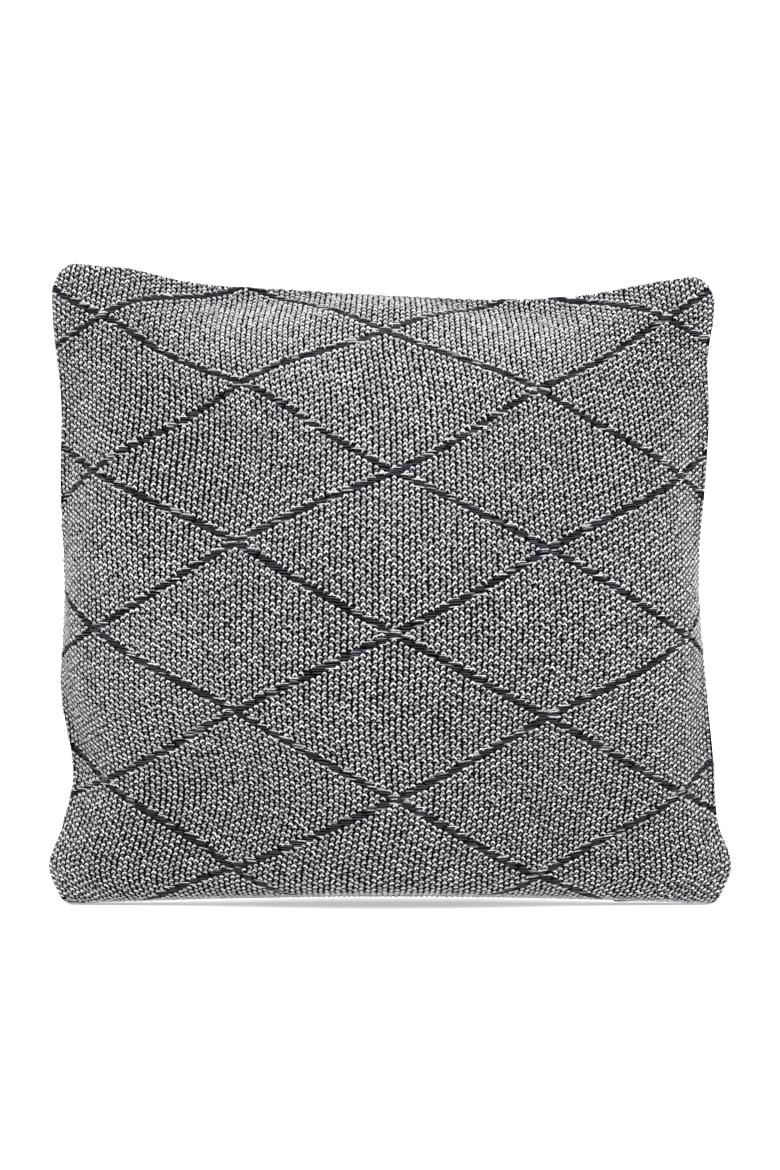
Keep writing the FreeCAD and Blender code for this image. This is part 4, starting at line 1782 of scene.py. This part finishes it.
        plate_faces = grid_faces(rays + 1, corners, wrap=True) % (rays * corners)
        neck = lozenge((x - 0.0028, 0, floor + thick / 2), (0.0020, 0.0010, thick / 2), 5)
        spin = np.linspace(0, TURN, spokes, endpoint=False)[:, None]
        width = 0.0010 * signed_power(np.sin(psi), 0.5) + 0 * spin
        ring = 0.00087 + 0.00017 * np.cos(psi)
        eye = np.stack([x + ring * np.cos(spin), width, self.pin + ring * np.sin(spin)], -1)
        eye_faces = grid_faces(spokes + 1, corners, wrap=True) % (spokes * corners)
        mesh = joined([
            (plate.reshape(-1, 3), [plate_faces]), neck, (eye.reshape(-1, 3), [eye_faces]),
        ])
        self.add("zip_pull", mesh, LACQUER, "zip_metal", "zipper_pull", Body.PULL)

    def build(self) -> None:
        """Builds the zip."""
        self.tapes()
        self.coils()
        self.stitching()
        self.tacks()
        self.stops()
        self.slider_body()
        self.pull_tag()
        sewn, fold = (0.0117, 0.0097), (0.0044, 0.0101)
        tab("care_tab", "care_label", self.finishes, (-0.170, -0.145), sewn, fold)
        log.info("zip: tapes, coils, stitching, tacks, stops, slider, pull and care label")


# ---------------------------------------------------------------------------------------------
# Stage


@dataclass
class Stage:
    """A plain pale floor that turns up into a backdrop, soft lights and the camera.

    Attributes:
        frame_width: Width of the picture at the pillow's middle plane.
        eye_height: Height of the camera and of what it looks at.
        lens: Focal length in millimetres.
        sensor: Sensor size along the picture's long side, in millimetres.
        picture: Width and height of the picture that the camera is set for.
    """

    frame_width: float = 0.5148
    eye_height: float = 0.2105
    lens: float = 85.0
    sensor: float = 36.0
    picture: tuple[int, int] = (780, 1170)

    def floor(self) -> None:
        """A floor that runs back, then turns up in a quarter circle: y and z by the arc's angle."""
        radius, run = 1.2, 1.6
        angle = np.linspace(0, math.pi / 2, 24)
        back = np.concatenate([[-3.0], run + radius * np.sin(angle), [run + radius]])
        high = np.concatenate([[0.0], radius * (1 - np.cos(angle)), [4.0]])
        across = np.linspace(-4, 4, 5)
        points = np.stack(np.broadcast_arrays(across[:, None], back[None], high[None]), -1)
        faces = grid_faces(len(across), len(back), flip=True)
        piece = add_mesh("floor", points.reshape(-1, 3), [faces])
        n = Nodes("floor_paper")
        n.mixed_colour(n.noise(3.0), (0.90, 0.90, 0.90), (0.92, 0.92, 0.92))
        n.shader.inputs["Emission Color"].default_value = (1, 1, 1, 1)
        piece.data.materials.append(n.set(Roughness=0.9, Emission_Strength=0.35))

    def lamp(
        self, name: str, place: tuple[float, float, float], size: float, power: float,
        aim: tuple[float, float, float] = (0.0, 0.0, PILLOW_MIDDLE),
    ) -> None:
        """A square soft light that points at the pillow's middle, or at another place.

        Args:
            name: The light's name.
            place: Where it stands.
            size: Length of its sides.
            power: Its power in watts.
            aim: What it points at.
        """
        data = bpy.data.lights.new(name, "AREA")
        data.size, data.energy = size, power
        lamp = bpy.data.objects.new(name, data)
        lamp.location = place
        lamp.rotation_euler = (Vector(aim) - Vector(place)).to_track_quat("-Z", "Y").to_euler()
        bpy.context.scene.collection.objects.link(lamp)

    def camera(self) -> None:
        """The camera square to the front, as far back as the lens needs for the picture's height."""
        height = self.frame_width * self.picture[1] / self.picture[0]
        distance = height / 2 / (self.sensor / 2 / self.lens)
        data = bpy.data.cameras.new("camera")
        data.lens, data.sensor_width = self.lens, self.sensor
        camera = bpy.data.objects.new("camera", data)
        camera.location = (0, -distance, self.eye_height)
        camera.rotation_euler = (math.pi / 2, 0, 0)
        bpy.context.scene.collection.objects.link(camera)
        bpy.context.scene.camera = camera

    def build(self) -> None:
        """Builds the whole stage."""
        self.camera()
        self.floor()
        world = bpy.data.worlds.new("studio")
        world.use_nodes = True
        background = world.node_tree.nodes["Background"]
        background.inputs["Color"].default_value = (1, 1, 1, 1)
        background.inputs["Strength"].default_value = 0.55
        scene = bpy.context.scene
        scene.world = world
        scene.view_settings.view_transform = "Standard"
        self.lamp("softbox_top", (0.1, -0.9, 1.9), 1.5, 38)
        self.lamp("softbox_left", (-1.4, -2.0, 0.9), 1.4, 14)
        self.lamp("softbox_right", (1.7, -1.7, 1.0), 1.4, 24)
        self.lamp("backdrop_lamp", (0.0, 0.9, 2.6), 2.0, 60, (0.0, 3.0, 0.9))


def main() -> None:
    """Builds every piece in order."""
    Stage().build()
    finishes = Finishes()
    form = StuffedForm().build()
    KnitCover(form, finishes).build()
    SeamAllowances(form, finishes).build()
    Insert(form, finishes).build()
    Zip(finishes).build()


if __name__ == "__main__":
    main()
